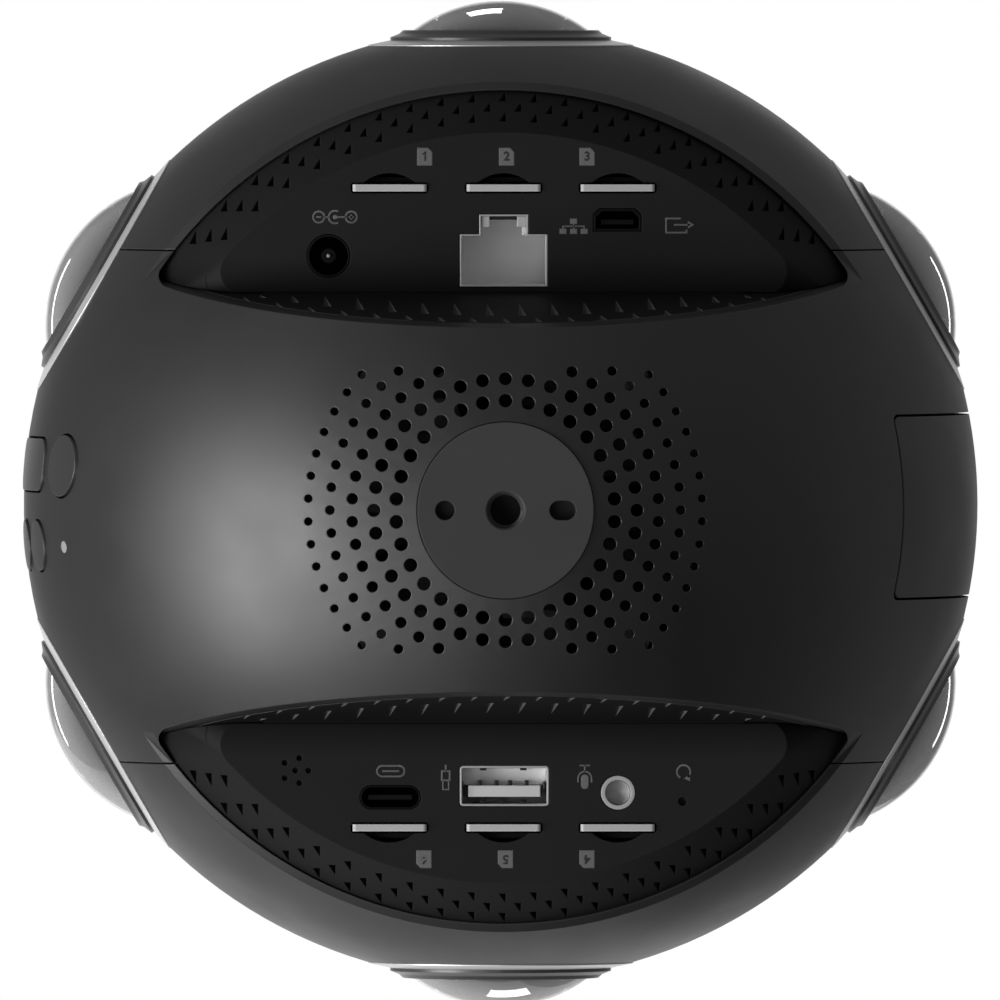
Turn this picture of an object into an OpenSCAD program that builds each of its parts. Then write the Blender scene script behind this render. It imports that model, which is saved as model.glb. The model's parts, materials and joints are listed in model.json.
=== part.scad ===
// Round camera with six lenses round its middle, ports in two recesses underneath,
// a battery that slides out of one side and a tripod plate that it stands on.
// X runs towards the battery, -Y and +Y towards the two port recesses,
// and Z up from the tripod plate's face.

/* [Body] */
// Outside diameter of the round body
ball_d = 136; // [130:1:142]
// Wall thickness of the shells and caps
wall = 2.4; // [2:0.1:2.8]
// Width of the gap line between two shells
seam_gap = 0.2; // [0.1:0.05:0.4]
// Distance from the middle plane to the seam of each end cap
seam_y = 36.4; // [36:0.1:37.5]
// Half width of the central band where it crosses the bottom
band_half = 25.7; // [25.2:0.05:26.2]
// Slope of the band's side walls, in degrees from upright
wall_draft = 12; // [11:0.5:13]

/* [Port recesses] */
// Height of a port panel above the bottom of the ball
panel_depth = 27; // [26:0.5:28]
// How far the panel's rounded edge lies inside the ball's surface
panel_inset = 1.05; // [0.8:0.05:1.5]
// Thickness of a port panel
panel_t = 1.6; // [1.2:0.1:1.8]
// Height of the recess rim above the bottom of the ball
rim_depth = 36.6; // [36:0.1:37.5]
// Width of the bevel round the rim
rim_bevel = 1.15; // [0.8:0.05:1.4]
// Corner radius of the recess at its rim
rim_corner = 1.75; // [1.5:0.25:2.5]
// Corner radius of the recess at the panel
panel_corner = 3.5; // [2.5:0.25:5]
// Thickness of the vent ring and the vent walls
vent_t = 1.6; // [1.2:0.1:2]
// Distance between neighbouring columns of vent notches
notch_pitch = 2.19; // [2.1:0.01:2.4]
// Depth of a vent notch
notch_depth = 2.2; // [1.5:0.1:2.4]
// Clearance between the recess and what is set into it
inset_gap = 0.15; // [0.1:0.05:0.25]

/* [Bottom vents] */
// Distance between neighbouring vent holes along their ring
hole_pitch = 3.238; // [3.1:0.01:3.4]
// Diameter of the largest vent holes, in the inner ring
hole_d = 1.88; // [1.5:0.02:2.2]
// Half width of the strip that holds the vent holes
hole_strip = 20; // [18:0.5:22]

/* [Tripod plate] */
// Diameter of the plate
plate_d = 24.9; // [24:0.1:26]
// How far the plate stands out of the ball
plate_proud = 0.25; // [0.2:0.05:0.5]
// Thread hole diameter
thread_d = 5.0; // [4.9:0.05:5.4]
// Thread hole depth
thread_depth = 9; // [7:0.5:10]
// Diameter of the round anti-twist hole
twist_d = 2.74; // [2.5:0.02:3]
// Distance of the anti-twist hole from the middle
twist_x = 8.55; // [8.2:0.05:9]
// Distance of the anti-twist slot from the middle
slot_x = 8.05; // [7.8:0.05:8.6]
// End-to-end length of the anti-twist slot
slot_len = 3.7; // [3.2:0.1:4]
// Depth of the anti-twist hole and slot
twist_depth = 3; // [2:0.25:3.5]

/* [Lenses] */
// Depth of a lens facet below the ball's surface
facet_depth = 2.7; // [2.5:0.05:3]
// Height of the glass dome above the ball's surface
glass_rise = 3.75; // [3:0.05:4.5]
// Radius of the glass dome at its base
glass_r = 13; // [12.6:0.1:13.2]
// Thickness of the front glass at its middle
glass_t = 1.6; // [1.4:0.1:2]
// Radius of the hollow behind the front glass
hollow_r = 7.2; // [6.8:0.1:7.6]
// Outside radius of the black bezel
bezel_r = 15.75; // [15.2:0.05:16]
// Height of the silver seat ring above its facet
seat_h = 0.8; // [0.5:0.05:1]
// Height of the bezel above the seat ring
bezel_h = 1.25; // [1:0.05:1.5]
// Outside radius of the lens barrel
barrel_r = 13.8; // [13.4:0.1:14]
// Outside radius of the barrel's rear tube
tube_r = 9; // [8.6:0.1:9.2]
// Side length of the image sensor board
sensor_side = 17; // [15:0.5:17]

/* [Battery] */
// Corner radius of the battery cover
cover_corner = 1.2; // [0.8:0.1:2]
// Gap round the battery cover
cover_gap = 0.35; // [0.3:0.05:0.45]
// Width of the battery
battery_w = 24; // [23.4:0.1:24.2]
// Height of the battery
battery_h = 71; // [70:0.5:71.5]
// Length of the battery behind its cover
battery_len = 77.5; // [70:0.5:80]
// Clearance between the battery and its bay
bay_gap = 0.35; // [0.3:0.05:0.45]
// Wall thickness of the battery bay
bay_wall = 1; // [0.8:0.05:1.1]

/* [Controls] */
// Width of the tall button
tall_w = 8; // [7:0.25:8.5]
// Height of the tall button
tall_h = 16.5; // [14:0.5:17]
// Radius of the large round button
large_r = 4.65; // [4.2:0.05:5]
// Radius of a small round button
small_r = 3.85; // [3.4:0.05:4.2]
// Height of a button above the ball's surface
button_proud = 0.3; // [0.1:0.05:0.5]
// Gap round a button
button_gap = 0.3; // [0.2:0.05:0.4]
// Travel of a button
button_travel = 0.5; // [0.3:0.05:0.7]
// Radius of the indicator light
light_r = 0.85; // [0.6:0.05:1]
// Width of the display window
window_w = 22; // [20:0.5:24]
// Height of the display window
window_h = 13; // [11:0.5:14]

/* [Ports] */
// Width of a memory card
card_w = 10.5; // [10.3:0.05:10.8]
// Length of a memory card
card_len = 15; // [14.5:0.1:15.2]
// Thickness of a memory card
card_t = 1; // [0.7:0.05:1.1]
// How far a seated card stands out of its panel
card_proud = 0.5; // [0.2:0.1:0.8]
// Clearance round a card in its slot
card_gap = 0.26; // [0.16:0.02:0.3]
// Distance between neighbouring card slots
card_pitch = 16.15; // [15.6:0.05:16.6]
// Width of the network jack's opening
lan_w = 11.9; // [11.6:0.1:12.2]
// Height of the network jack's opening
lan_h = 6.9; // [6.6:0.1:7.2]
// Wall thickness of the network jack's shield
lan_wall = 0.25; // [0.2:0.01:0.27]
// Inside diameter of the power jack
dc_d = 5.5; // [5.4:0.05:5.8]
// Diameter of the power jack's pin
dc_pin_d = 2.1; // [1.9:0.05:2.6]
// Width of the wide data port's shell
usb_a_w = 12.6; // [12.2:0.1:13.2]
// Height of the wide data port's shell
usb_a_h = 5.7; // [5.2:0.1:5.8]
// Width of the small oval data port
usb_c_w = 8.1; // [7.8:0.1:8.4]
// Height of the small oval data port
usb_c_h = 2.85; // [2.7:0.05:3]
// Width of the small video port
hdmi_w = 6.1; // [5.9:0.1:6.4]
// Height of the small video port
hdmi_h = 2.5; // [2.3:0.1:2.8]
// Inside diameter of the audio jack
audio_d = 3.6; // [3.5:0.05:3.7]
// Outside diameter of the audio jack's ring
audio_ring_d = 4.8; // [4.6:0.1:5]
// Diameter of the reset pinhole
reset_d = 1.2; // [1:0.05:1.5]

/* [Cooling] */
// Outside radius of the fan housing
fan_r = 23; // [22:0.25:23.5]
// Height of the fan housing
fan_h = 9; // [8:0.25:9]
// Radius of the fan shaft
shaft_r = 1.2; // [1:0.05:1.5]
// Running clearance between the fan shaft and the rotor
shaft_gap = 0.05; // [0.03:0.01:0.08]
// Clearance between the blade tips and the housing
tip_gap = 0.6; // [0.5:0.05:1]

/* [Hidden] */
$fn = 96;
lens_count = 6;
card_count = 6;

// Small overlap that keeps cuts clean
eps = 0.02;
// Reach of a cut past the face that it opens
over = 1;
// Reach of a cutting block past the ball
far = 100;

// The ball, with its centre above the tripod plate's face
ball_r = ball_d / 2;
inner_r = ball_r - wall;
plate_r = plate_d / 2;
center_z = sqrt(ball_r ^ 2 - plate_r ^ 2) + plate_proud;
// Gap round pieces that are pushed or screwed together
fit_gap = 0.1;
// Gap round the finest pins and screws
pin_gap = 0.05;

// The recesses, seen from the ball's centre
panel_z = panel_depth - ball_r;
panel_r = sqrt(ball_r ^ 2 - panel_z ^ 2) - panel_inset;
panel_top = panel_z + panel_t;
rim_z = rim_depth - ball_r;
rim_r = sqrt(ball_r ^ 2 - rim_z ^ 2);
eye_r = rim_r - rim_bevel;
ring_r = eye_r - inset_gap;
lip_drop = rim_bevel / 2;
edge_z0 = -sqrt(ball_r ^ 2 - band_half ^ 2);
wall_slope = tan(wall_draft);
wall_y0 = band_half - wall_slope * edge_z0;
function wall_y(z) = wall_y0 + wall_slope * z;
function slope_z(r) = panel_z + (r - panel_r) * (rim_z - panel_z) / (ring_r - panel_r);
// Height where the band's wall meets the ball, at a distance x from the middle
function edge_z(x) =
    let (a = 1 + wall_slope ^ 2, b = 2 * wall_y0 * wall_slope, c = wall_y0 ^ 2 + x ^ 2 - ball_r ^ 2)
    (-b - sqrt(b ^ 2 - 4 * a * c)) / (2 * a);
corner_reach = 1.8;
wall_end_x = sqrt(panel_r ^ 2 - wall_y(panel_z) ^ 2) - corner_reach * panel_corner;
wall_open = 2;
wall_open_x = wall_end_x - wall_open;

// Corner of a recess at its rim, and the circle that rounds it
corner_y = wall_y(-sqrt(ball_r ^ 2 - eye_r ^ 2));
fade_shift = 10;
fade_r = sqrt(ball_r ^ 2 + 2 * fade_shift * corner_y + fade_shift ^ 2);
corner_x = sqrt(eye_r ^ 2 - corner_y ^ 2);
corner_at = [corner_x, corner_y];
edge_x = corner_x - rim_corner;
edge_run = corner_at - [edge_x, wall_y(edge_z(edge_x))];
edge_dir = edge_run / norm(edge_run);
edge_side = [-edge_dir[1], edge_dir[0]];
corner_off = corner_at + edge_side * rim_corner;
corner_along = corner_off * edge_dir;
corner_back = corner_along - sqrt(corner_along ^ 2 - corner_off * corner_off + (eye_r - rim_corner) ^ 2);
corner_c = corner_off - edge_dir * corner_back;

// Vent notches: rows on the ring, and two rows on each wall
notch_half = 0.7;
notch_left = 0.75;
notch_right = 0.4;
notch_row = 1.43;
notch_edge = 0.92;
notch_rows = [for (k = [0:2]) eye_r - notch_edge - k * notch_row];
notch_margin = 3;
wall_notch_pitch = 4.58;
wall_notch_h = [8.6, 3.4];
wall_notch_rise = [7.8, 3.4];
wall_notch_left = 0.35;
wall_notch_right = 0.85;

// The lens stack, as distances along a lens axis from the ball's centre
facet_d = ball_r - facet_depth;
facet_r = sqrt(ball_r ^ 2 - facet_d ^ 2);
seat_lip = 0.6;
seat_hole_r = facet_r - seat_lip;
seat_sink = 0.9;
seat_base = facet_d - seat_sink;
seat_top = facet_d + seat_h;
bezel_top = seat_top + bezel_h;
step_h = 0.2;
step_top = bezel_top + step_h;
bezel_bore = glass_r + fit_gap;
bezel_neck = 1.1;
seat_bore = bezel_bore + bezel_neck;
glass_sink = 0.15;
glass_base = bezel_top - glass_sink;
glass_tip = ball_r + glass_rise;
dome_h = glass_tip - glass_base;
dome_r = (glass_r ^ 2 + dome_h ^ 2) / (2 * dome_h);
dome_c = glass_tip - dome_r;
flange_t = 2;
barrel_depth = 12.3;
shoulder_d = facet_d - barrel_depth;
tube_len = 7;
tube_end_d = shoulder_d - tube_len;
tube_wall = 2.5;
tube_bore = tube_r - tube_wall;
element_rim = 2;
element_r = tube_bore + element_rim;
element_dome = 11.5;
element_sink = 5.4;
element_base = seat_base - element_sink;
element_t = 2.8;
element_edge = element_base + element_t;
sensor_t = 1.6;
sensor_chip = 8;
sensor_chip_h = 0.8;

// The battery and its bay
cover_lip = [1, 2];
cover_w = battery_w + 2 * cover_lip[0];
cover_h = battery_h + 2 * cover_lip[1];
cover_hole_w = cover_w + cover_gap;
cover_hole_h = cover_h + cover_gap;
cover_out_w = cover_w - cover_gap;
cover_out_h = cover_h - cover_gap;
cover_side = 1.8;
battery_inset = 0.3;
battery_front = sqrt(inner_r ^ 2 - (battery_w / 2) ^ 2 - (battery_h / 2) ^ 2) - battery_inset;
battery_back = battery_front - battery_len;
battery_corner = 2;
bay_end = 1.5;
bay_half_y = battery_w / 2 + bay_gap + bay_wall;
bay_half_z = battery_h / 2 + bay_gap + bay_wall;
bay_back = battery_back - bay_gap - bay_end;
bay_setback = 0.4;
bay_front = battery_front - bay_setback;
contact_r = 1.2;
contact_pitch = 8;
contact_tail = 1;
contact_dip = 1;
boss_h = 3;
boss_r = 2.5;
boss_x = [-16, 30];
boss_y = 9;

// The frame that carries the lenses
frame_t = 2;
frame_half_h = 17;
frame_flange = 9;
leg_r = 3;
leg_in = 2.7;
leg_turn = 26.57;
leg_d = shoulder_d - frame_flange - frame_t + leg_in;
leg_x = leg_d * cos(leg_turn);
leg_y = leg_d * sin(leg_turn);
front_wall_in = 18;
front_wall_x = front_wall_in - ball_r;
front_wall_half = 19.4;

// The control side
board_t = 1.6;
board_x = front_wall_x - board_t;
switch_h = 0.8;
switch_r = 1.8;
stem_r = 1.4;
flange_lip = 0.8;
button_flange_t = 1;
stem_tip = board_x - switch_h - button_travel - fit_gap;
button_board_half = 13;
button_board_rim = 2;
tall_at = [-5.8, -11.2];
large_at = [-5.75, -26.2];
mode_at = [5.7, -7];
select_at = [5.7, -16];
light_at = [5.75, -26.6];
window_z = 13;
window_t = 1.6;
window_corner = 1.5;
tall_corner = 2.5;
screen_t = 1.6;
screen_rim = 1;
screen_post_r = 1;
screen_post_in = 2;

// The port boards and what is soldered to them
port_board_z = -25;
port_board_t = 1.6;
port_board_rim = 2;
port_face = panel_z + eps;
socket_w = card_w + 2.6;
socket_t = card_t + 2;
card_corner = 0.5;
card_edge = 2.39;
card_y = sqrt((panel_r - card_edge) ^ 2 - (card_pitch + card_w / 2) ^ 2) - card_t / 2 - card_gap;
card_z = panel_z - card_proud;
thumb_chord = 7.3;
thumb_rise = 1.33;
dc_at = [-24.8, -35.7];
dc_wall = 0.25;
dc_out_r = dc_d / 2 + dc_wall;
dc_depth = 9.5;
dc_pin_set = 1;
lan_neck_w = 6.45;
lan_neck_h = 2.8;
lan_depth = 13;
lan_set = 1.25;
lan_y = -(wall_y(panel_z) + lan_set);
hdmi_at = [16.1, -40.8];
hdmi_clip = 0.9;
hdmi_depth = 6;
hdmi_tongue = [4.6, 0.7];
hdmi_tongue_up = 0.3;
usb_c_at = [-16.05, 41];
usb_c_rim = 0.2;
usb_c_depth = 7;
usb_c_tongue = [6.2, 0.7];
usb_a_at = [0.1, 39.4];
usb_a_corner = 0.5;
usb_a_depth = 12;
usb_a_tongue = [10.2, 1.6];
usb_a_tongue_gap = 1;
tongue_set = 0.6;
audio_at = [16.2, 40.35];
audio_depth = 14;
reset_at = [25.35, 41.6];
reset_lip = 0.3;
reset_r = reset_d / 2 + reset_lip;
reset_lift = 0.4;
reset_z = panel_top + reset_lift;
reset_len = 2.6;
reset_travel = 0.3;
reset_sleeve = 1;
reset_show = 0.8;
mic_at = [-29.5, 37.2];
mic_hole_r = 0.4;
mic_ring_r = 1.85;
mic_holes = 5;
mic_rim = 1.1;
mic_h = 2.4;
shell_t = 0.3;
board_y0 = port_board_rim - lan_y;
board_y1 = card_y + socket_t / 2 + port_board_rim;
board_margin = 4;

// The fan, below the battery bay
plate_boss_floor = 2;
sink_t = 1.8;
sink_half_x = 30;
sink_half_y = 22;
sink_top = -bay_half_z - fit_gap;
fan_gap = 1.35;
boss_top = thread_depth + plate_boss_floor - center_z;
fin_h = sink_top - sink_t - fan_h - fan_gap - boss_top;
fin_t = 1.2;
fin_pitch = 5;
fan_top = sink_top - sink_t - fin_h;
fan_bottom = fan_top - fan_h;
fan_wall = 1.8;
fan_ear = 18.5;
fan_ear_r = 3;
fan_web = 2.2;
hub_r = 8;
motor_r = 7;
motor_t = 1.5;
strut_t = 1.1;
strut_half = 1.5;
strut_root = 0.5;
strut_up = 0.2;
shaft_short = 1;
blade_count = 7;
blade_t = 1.1;
blade_tilt = 38;
blade_root = 1.5;
screw_r = 1.1;
screw_head_r = 2;
screw_head_h = 1;
screw_short = 2;
board_half_x = 36;
board_half_y = 24;
chip_side = 18;
chip_h = 2;
plate_flange = 2;
plate_flange_t = 1.3;
plate_bevel = 0.3;
plate_boss_r = 6;
hole_rings = [30, 36, 42, 48, 54];
hole_shrink = [1, 0.96, 0.83, 0.7, 0.61];

// Places one piece round the ball's centre
module at_center() {
    translate([0, 0, center_z]) children();
}

// Turns Z outwards along a lens axis
module lens_axis(n) {
    rotate([0, 0, 360 / lens_count * (n - 0.5)]) rotate([0, 90, 0]) children();
}

module at_lenses() {
    at_center() for (n = [1:lens_count]) lens_axis(n) children();
}

// Mirrors a piece drawn on the +Y side to the side asked for
module on_side(side) {
    mirror([0, side < 0 ? 1 : 0, 0]) children();
}

// Extrudes a shape drawn in Y and Z along X
module along_x(x0, x1) {
    translate([x0, 0, 0]) rotate([90, 0, 90]) linear_extrude(x1 - x0) children();
}

module rounded(w, h, r) {
    if (w > 2 * r) square([w - 2 * r, h], center = true);
    if (h > 2 * r) square([w, h - 2 * r], center = true);
    for (x = [-1, 1], y = [-1, 1]) translate([x * (w / 2 - r), y * (h / 2 - r)]) circle(r);
}

module ball_shell() {
    difference() {
        sphere(ball_r);
        sphere(inner_r);
    }
}

module block(x0, x1, y0, y1, z0, z1) {
    translate([x0, y0, z0]) cube([x1 - x0, y1 - y0, z1 - z0]);
}

// Outline of a recess: part of a disc beyond the band's wall, with rounded corners
module eye_outline(r, y0, corner) {
    offset(r = corner) offset(delta = -corner) intersection() {
        circle(r, $fn = 160);
        translate([-far, y0]) square([2 * far, far]);
    }
}

module eye_body(z0, r0, y0, c0, z1, r1, y1, c1) {
    hull() {
        translate([0, 0, z0]) linear_extrude(eps) eye_outline(r0, y0, c0);
        translate([0, 0, z1 - eps]) linear_extrude(eps) eye_outline(r1, y1, c1);
    }
}

// The space on a recess's side of the band's wall
module beyond_wall(z0, z1, gap) {
    along_x(-ball_r, ball_r)
        polygon([[wall_y(z0) + gap, z0], [far, z0], [far, z1], [wall_y(z1) + gap, z1]]);
}

// Fills the sharp corner of a recess back to its rounding circle
module corner_fill(grow) {
    translate([0, 0, -far]) linear_extrude(2 * far) difference() {
        polygon([
            corner_c,
            corner_c - edge_side * (rim_corner - grow),
            corner_at * 2 - corner_c,
            corner_c * eye_r / norm(corner_c)
        ]);
        translate(corner_c) circle(rim_corner - grow);
    }
}

// The space cut out of the shells for a recess, with a bevel round its rim that fades at the corners
module eye_cut(side) {
    z0 = -ball_r - over;
    z1 = rim_z + 2 * inset_gap;
    on_side(side) difference() {
        intersection() {
            translate([0, 0, z0]) cylinder(h = z1 - z0, r = eye_r);
            beyond_wall(z0, z1, 0);
        }
        for (end = [0, 1]) mirror([end, 0, 0]) corner_fill(0);
    }
    on_side(side) difference() {
        rotate_extrude() polygon([
            [rim_r, rim_z],
            [eye_r - eps, rim_z - lip_drop],
            [eye_r - eps, -ball_r],
            [rim_r + over, -ball_r],
            [rim_r + over, rim_z]
        ]);
        translate([0, -fade_shift, 0]) sphere(fade_r);
    }
}

module eye_cuts() {
    for (side = [-1, 1], top = [0, 1]) mirror([0, 0, top]) eye_cut(side);
}

// The ring and panel set into a recess, as one block that ends at the band's wall
module tray_body() {
    lap = 0.3;
    skirt = 8;
    difference() {
        intersection() {
            eye_body(panel_z, panel_r, wall_y(panel_z) - lap, panel_corner,
                     rim_z, ring_r, wall_y(rim_z) - skirt, rim_corner);
            beyond_wall(panel_z - over, rim_z + over, inset_gap);
        }
        for (end = [0, 1]) mirror([end, 0, 0]) corner_fill(inset_gap);
    }
}

function ring_at(z) = panel_r + (z - panel_z) * (ring_r - panel_r) / (rim_z - panel_z);

// The space behind the ring, open towards the band between its corners
module tray_hollow(z0) {
    z1 = rim_z + over;
    wall = inset_gap + vent_t;
    eye_body(z0, ring_at(z0) - vent_t, wall_y(z0) + wall, panel_corner,
             z1, ring_at(z1) - vent_t, wall_y(z1) + wall, rim_corner);
    block(-wall_open_x, wall_open_x, 0, wall_y(rim_z) + wall, z0, z1);
}

// A three-sided notch: a wide end towards the panel, a point towards the rim
module notch(points) {
    polyhedron(points, [[0, 1, 2], [0, 3, 1], [1, 3, 2], [2, 3, 0]]);
}

function on_slope(x, y, lift) = [x, y, slope_z(norm([x, y])) + lift];

module ring_notches() {
    for (k = [0:2]) {
        r = notch_rows[k];
        reach = floor(r / notch_pitch);
        for (i = [-reach:reach]) {
            x = i * notch_pitch;
            clear_y = wall_y(slope_z(r)) + notch_margin;
            if ((i + k) % 2 == 0 && r ^ 2 - x ^ 2 > clear_y ^ 2) {
                y0 = sqrt((r - notch_half) ^ 2 - x ^ 2);
                y1 = sqrt((r + notch_half) ^ 2 - x ^ 2);
                notch([
                    on_slope(x - notch_left, y0, -fit_gap),
                    on_slope(x + notch_right, y0, -fit_gap),
                    on_slope(x + notch_right - fit_gap, y1, -fit_gap),
                    on_slope(x + notch_right / 2, y0 + fit_gap, notch_depth)
                ]);
            }
        }
    }
}

module vent_ring_body() {
    difference() {
        tray_body();
        tray_hollow(panel_z - over);
        block(-far, far, 0, far, -far, panel_top + eps);
        ring_notches();
    }
}

module panel_body() {
    intersection() {
        tray_body();
        block(-far, far, 0, far, -far, panel_top);
    }
}

function card_side(n) = n <= 3 ? -1 : 1;
function card_x(n) = (n <= 3 ? n - 2 : 5 - n) * card_pitch;

module card_slots(side) {
    slot_half = card_t / 2 + card_gap;
    thumb_r = ((thumb_chord / 2) ^ 2 + thumb_rise ^ 2) / (2 * thumb_rise);
    for (n = [1:card_count]) if (card_side(n) == side) {
        translate([card_x(n), side * card_y]) rounded(card_w + 2 * card_gap, 2 * slot_half, card_corner);
        on_side(side) intersection() {
            translate([card_x(n), card_y + slot_half + thumb_rise - thumb_r]) circle(thumb_r);
            translate([card_x(n) - thumb_r, card_y]) square([2 * thumb_r, thumb_r]);
        }
    }
}

module through_panel() {
    translate([0, 0, panel_z - over]) linear_extrude(panel_t + 2 * over) children();
}

module lan_outline(grow) {
    translate([-lan_w / 2 - grow, lan_y - lan_h - grow]) square([lan_w + 2 * grow, lan_h + 2 * grow]);
    translate([-lan_neck_w / 2 - grow, lan_y - lan_h - lan_neck_h - grow])
        square([lan_neck_w + 2 * grow, lan_neck_h + 2 * grow]);
}

module hdmi_outline(grow) {
    w = hdmi_w / 2 + grow;
    h = hdmi_h / 2 + grow;
    foot = w - hdmi_clip;
    side = hdmi_clip - h;
    translate(hdmi_at) polygon([[-w, h], [w, h], [w, side], [foot, -h], [-foot, -h], [-w, side]]);
}

module usb_c_outline(grow) {
    translate(usb_c_at) rounded(usb_c_w + 2 * grow, usb_c_h + 2 * grow, usb_c_h / 2 + grow - eps);
}

module usb_a_outline(grow) {
    translate(usb_a_at) rounded(usb_a_w + 2 * grow, usb_a_h + 2 * grow, usb_a_corner + grow);
}

module front_port_panel() color("#232324") at_center() {
    difference() {
        on_side(-1) panel_body();
        through_panel() card_slots(-1);
        through_panel() lan_outline(lan_wall + fit_gap);
        through_panel() hdmi_outline(shell_t + fit_gap);
        through_panel() translate(dc_at) circle(dc_out_r + fit_gap);
    }
}

module rear_port_panel() color("#232324") at_center() {
    difference() {
        panel_body();
        through_panel() card_slots(1);
        through_panel() usb_a_outline(fit_gap);
        through_panel() usb_c_outline(usb_c_rim + fit_gap);
        through_panel() translate(audio_at) circle(audio_ring_d / 2 + fit_gap);
        through_panel() translate(reset_at) circle(reset_d / 2);
        through_panel() translate(mic_at) circle(mic_hole_r);
        through_panel() translate(mic_at) for (i = [1:mic_holes])
            rotate(360 / mic_holes * i) translate([mic_ring_r, 0]) circle(mic_hole_r);
    }
}

module front_vent_ring() color("#1f1f20") at_center() on_side(-1) vent_ring_body();

module rear_vent_ring() color("#1f1f20") at_center() vent_ring_body();

// The unseen top repeats the recesses with a closed panel
module top_vent_body() {
    mirror([0, 0, 1]) difference() {
        tray_body();
        tray_hollow(panel_top);
        ring_notches();
    }
}

module front_top_vent() color("#1f1f20") at_center() on_side(-1) top_vent_body();

module rear_top_vent() color("#1f1f20") at_center() top_vent_body();

// A sloping wall between the band and a panel, with two rows of notches
module vent_wall() {
    z0 = edge_z0;
    z1 = rim_z - inset_gap;
    difference() {
        intersection() {
            along_x(-ball_r, ball_r) polygon([
                [wall_y(z0) - vent_t, z0], [wall_y(z0), z0], [wall_y(z1), z1], [wall_y(z1) - vent_t, z1]
            ]);
            sphere(inner_r - inset_gap);
        }
        block(-wall_end_x, wall_end_x, 0, far, panel_z, far);
        for (row = [0, 1], i = [-8:8]) {
            x = (i + (row == 0 ? 0.5 : 0)) * wall_notch_pitch;
            z = edge_z(x) + wall_notch_rise[row];
            top = min(z + wall_notch_h[row], panel_z - vent_t / 2);
            if (abs(x) < wall_end_x && z < top - vent_t) notch([
                [x - wall_notch_left, wall_y(z) + fit_gap, z],
                [x + wall_notch_right, wall_y(z) + fit_gap, z],
                [x - wall_notch_left + fit_gap, wall_y(top) + fit_gap, top],
                [x, wall_y(z) - vent_t / 2, z + fit_gap]
            ]);
        }
    }
}

module vent_walls() color("#1f1f20") at_center() {
    for (side = [-1, 1], top = [0, 1]) mirror([0, 0, top]) on_side(side) vent_wall();
}

// The flat and the round hole that a lens takes out of the shells
module lens_cuts(first, last) {
    for (n = [first:last]) lens_axis(n) {
        translate([0, 0, facet_d]) cylinder(h = ball_r, r = facet_r + over);
        translate([0, 0, shoulder_d]) cylinder(h = ball_r, r = seat_hole_r);
    }
}

module bottom_vents() {
    for (k = [0:len(hole_rings) - 1]) {
        count = hole_rings[k];
        ring = count * hole_pitch / 360 * 180 / PI;
        for (i = [0:count - 1]) {
            turn = 360 / count * (i + (k % 2 == 0 ? 0.5 : 0));
            if (abs(ring * sin(turn)) < hole_strip)
                rotate(turn) translate([ring, 0]) circle(d = hole_d * hole_shrink[k], $fn = 32);
        }
    }
}

module pill(at, w, h, corner, grow) {
    translate(at) rounded(w + 2 * grow, h + 2 * grow, corner + grow);
}

module tall_shape(grow) {
    pill(tall_at, tall_w, tall_h, tall_corner, grow);
}

module round_shape(at, r, grow) {
    translate(at) circle(r + grow);
}

// Everything that passes through the band's shells
module band_cuts() {
    eye_cuts();
    lens_cuts(1, lens_count);
    along_x(0, far) rounded(cover_hole_w, cover_hole_h, cover_corner);
    along_x(-far, front_wall_x) {
        tall_shape(0);
        round_shape(large_at, large_r, 0);
        round_shape(mode_at, small_r, 0);
        round_shape(select_at, small_r, 0);
        round_shape(light_at, light_r, fit_gap / 2);
        pill([0, window_z], window_w, window_h, window_corner, fit_gap);
    }
}

module band_shell(z0, z1) {
    difference() {
        intersection() {
            ball_shell();
            block(-far, far, seam_gap / 2 - seam_y, seam_y - seam_gap / 2, z0, z1);
        }
        band_cuts();
    }
}

module lower_shell() color("#363638") at_center() {
    difference() {
        band_shell(-far, -seam_gap / 2);
        translate([0, 0, -far]) cylinder(h = far, r = plate_r + fit_gap);
        translate([0, 0, -far]) linear_extrude(far / 2) bottom_vents();
    }
}

module upper_shell() color("#363638") at_center() band_shell(seam_gap / 2, far);

module end_cap(side, first) {
    difference() {
        intersection() {
            ball_shell();
            on_side(side) block(-far, far, seam_y + seam_gap / 2, far, -far, far);
        }
        for (top = [0, 1]) mirror([0, 0, top]) eye_cut(side);
        lens_cuts(first, first + 2);
    }
}

module front_cap() color("#363638") at_center() end_cap(-1, 4);

module rear_cap() color("#363638") at_center() end_cap(1, 1);

module tripod_plate() color("#39393a") {
    base = -center_z;
    flange_z = -sqrt(inner_r ^ 2 - (plate_r + plate_flange) ^ 2) + fit_gap * 3;
    bevel_d = thread_d + 2 * plate_bevel;
    at_center() difference() {
        union() {
            translate([0, 0, base]) cylinder(h = flange_z - base + plate_flange_t, r = plate_r);
            translate([0, 0, flange_z]) cylinder(h = plate_flange_t, r = plate_r + plate_flange);
            translate([0, 0, base]) cylinder(h = thread_depth + plate_boss_floor, r = plate_boss_r);
        }
        translate([0, 0, base - eps]) cylinder(h = thread_depth + eps, d = thread_d);
        translate([0, 0, base - eps]) cylinder(h = plate_bevel + eps, d1 = bevel_d, d2 = thread_d);
        translate([-twist_x, 0, base - eps]) cylinder(h = twist_depth, d = twist_d);
        translate([slot_x, 0, base - eps]) linear_extrude(twist_depth)
            rounded(slot_len, twist_d, twist_d / 2 - eps);
    }
}

// The battery's outer end, a hollow cap that closes the ball
module battery_cover() color("#363638") at_center() {
    difference() {
        intersection() {
            sphere(ball_r);
            along_x(battery_front, far) rounded(cover_out_w, cover_out_h, cover_corner);
        }
        intersection() {
            sphere(inner_r);
            along_x(battery_front - eps, far)
                square([cover_out_w - 2 * cover_side, cover_out_h - 2 * cover_side], center = true);
        }
    }
}

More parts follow.
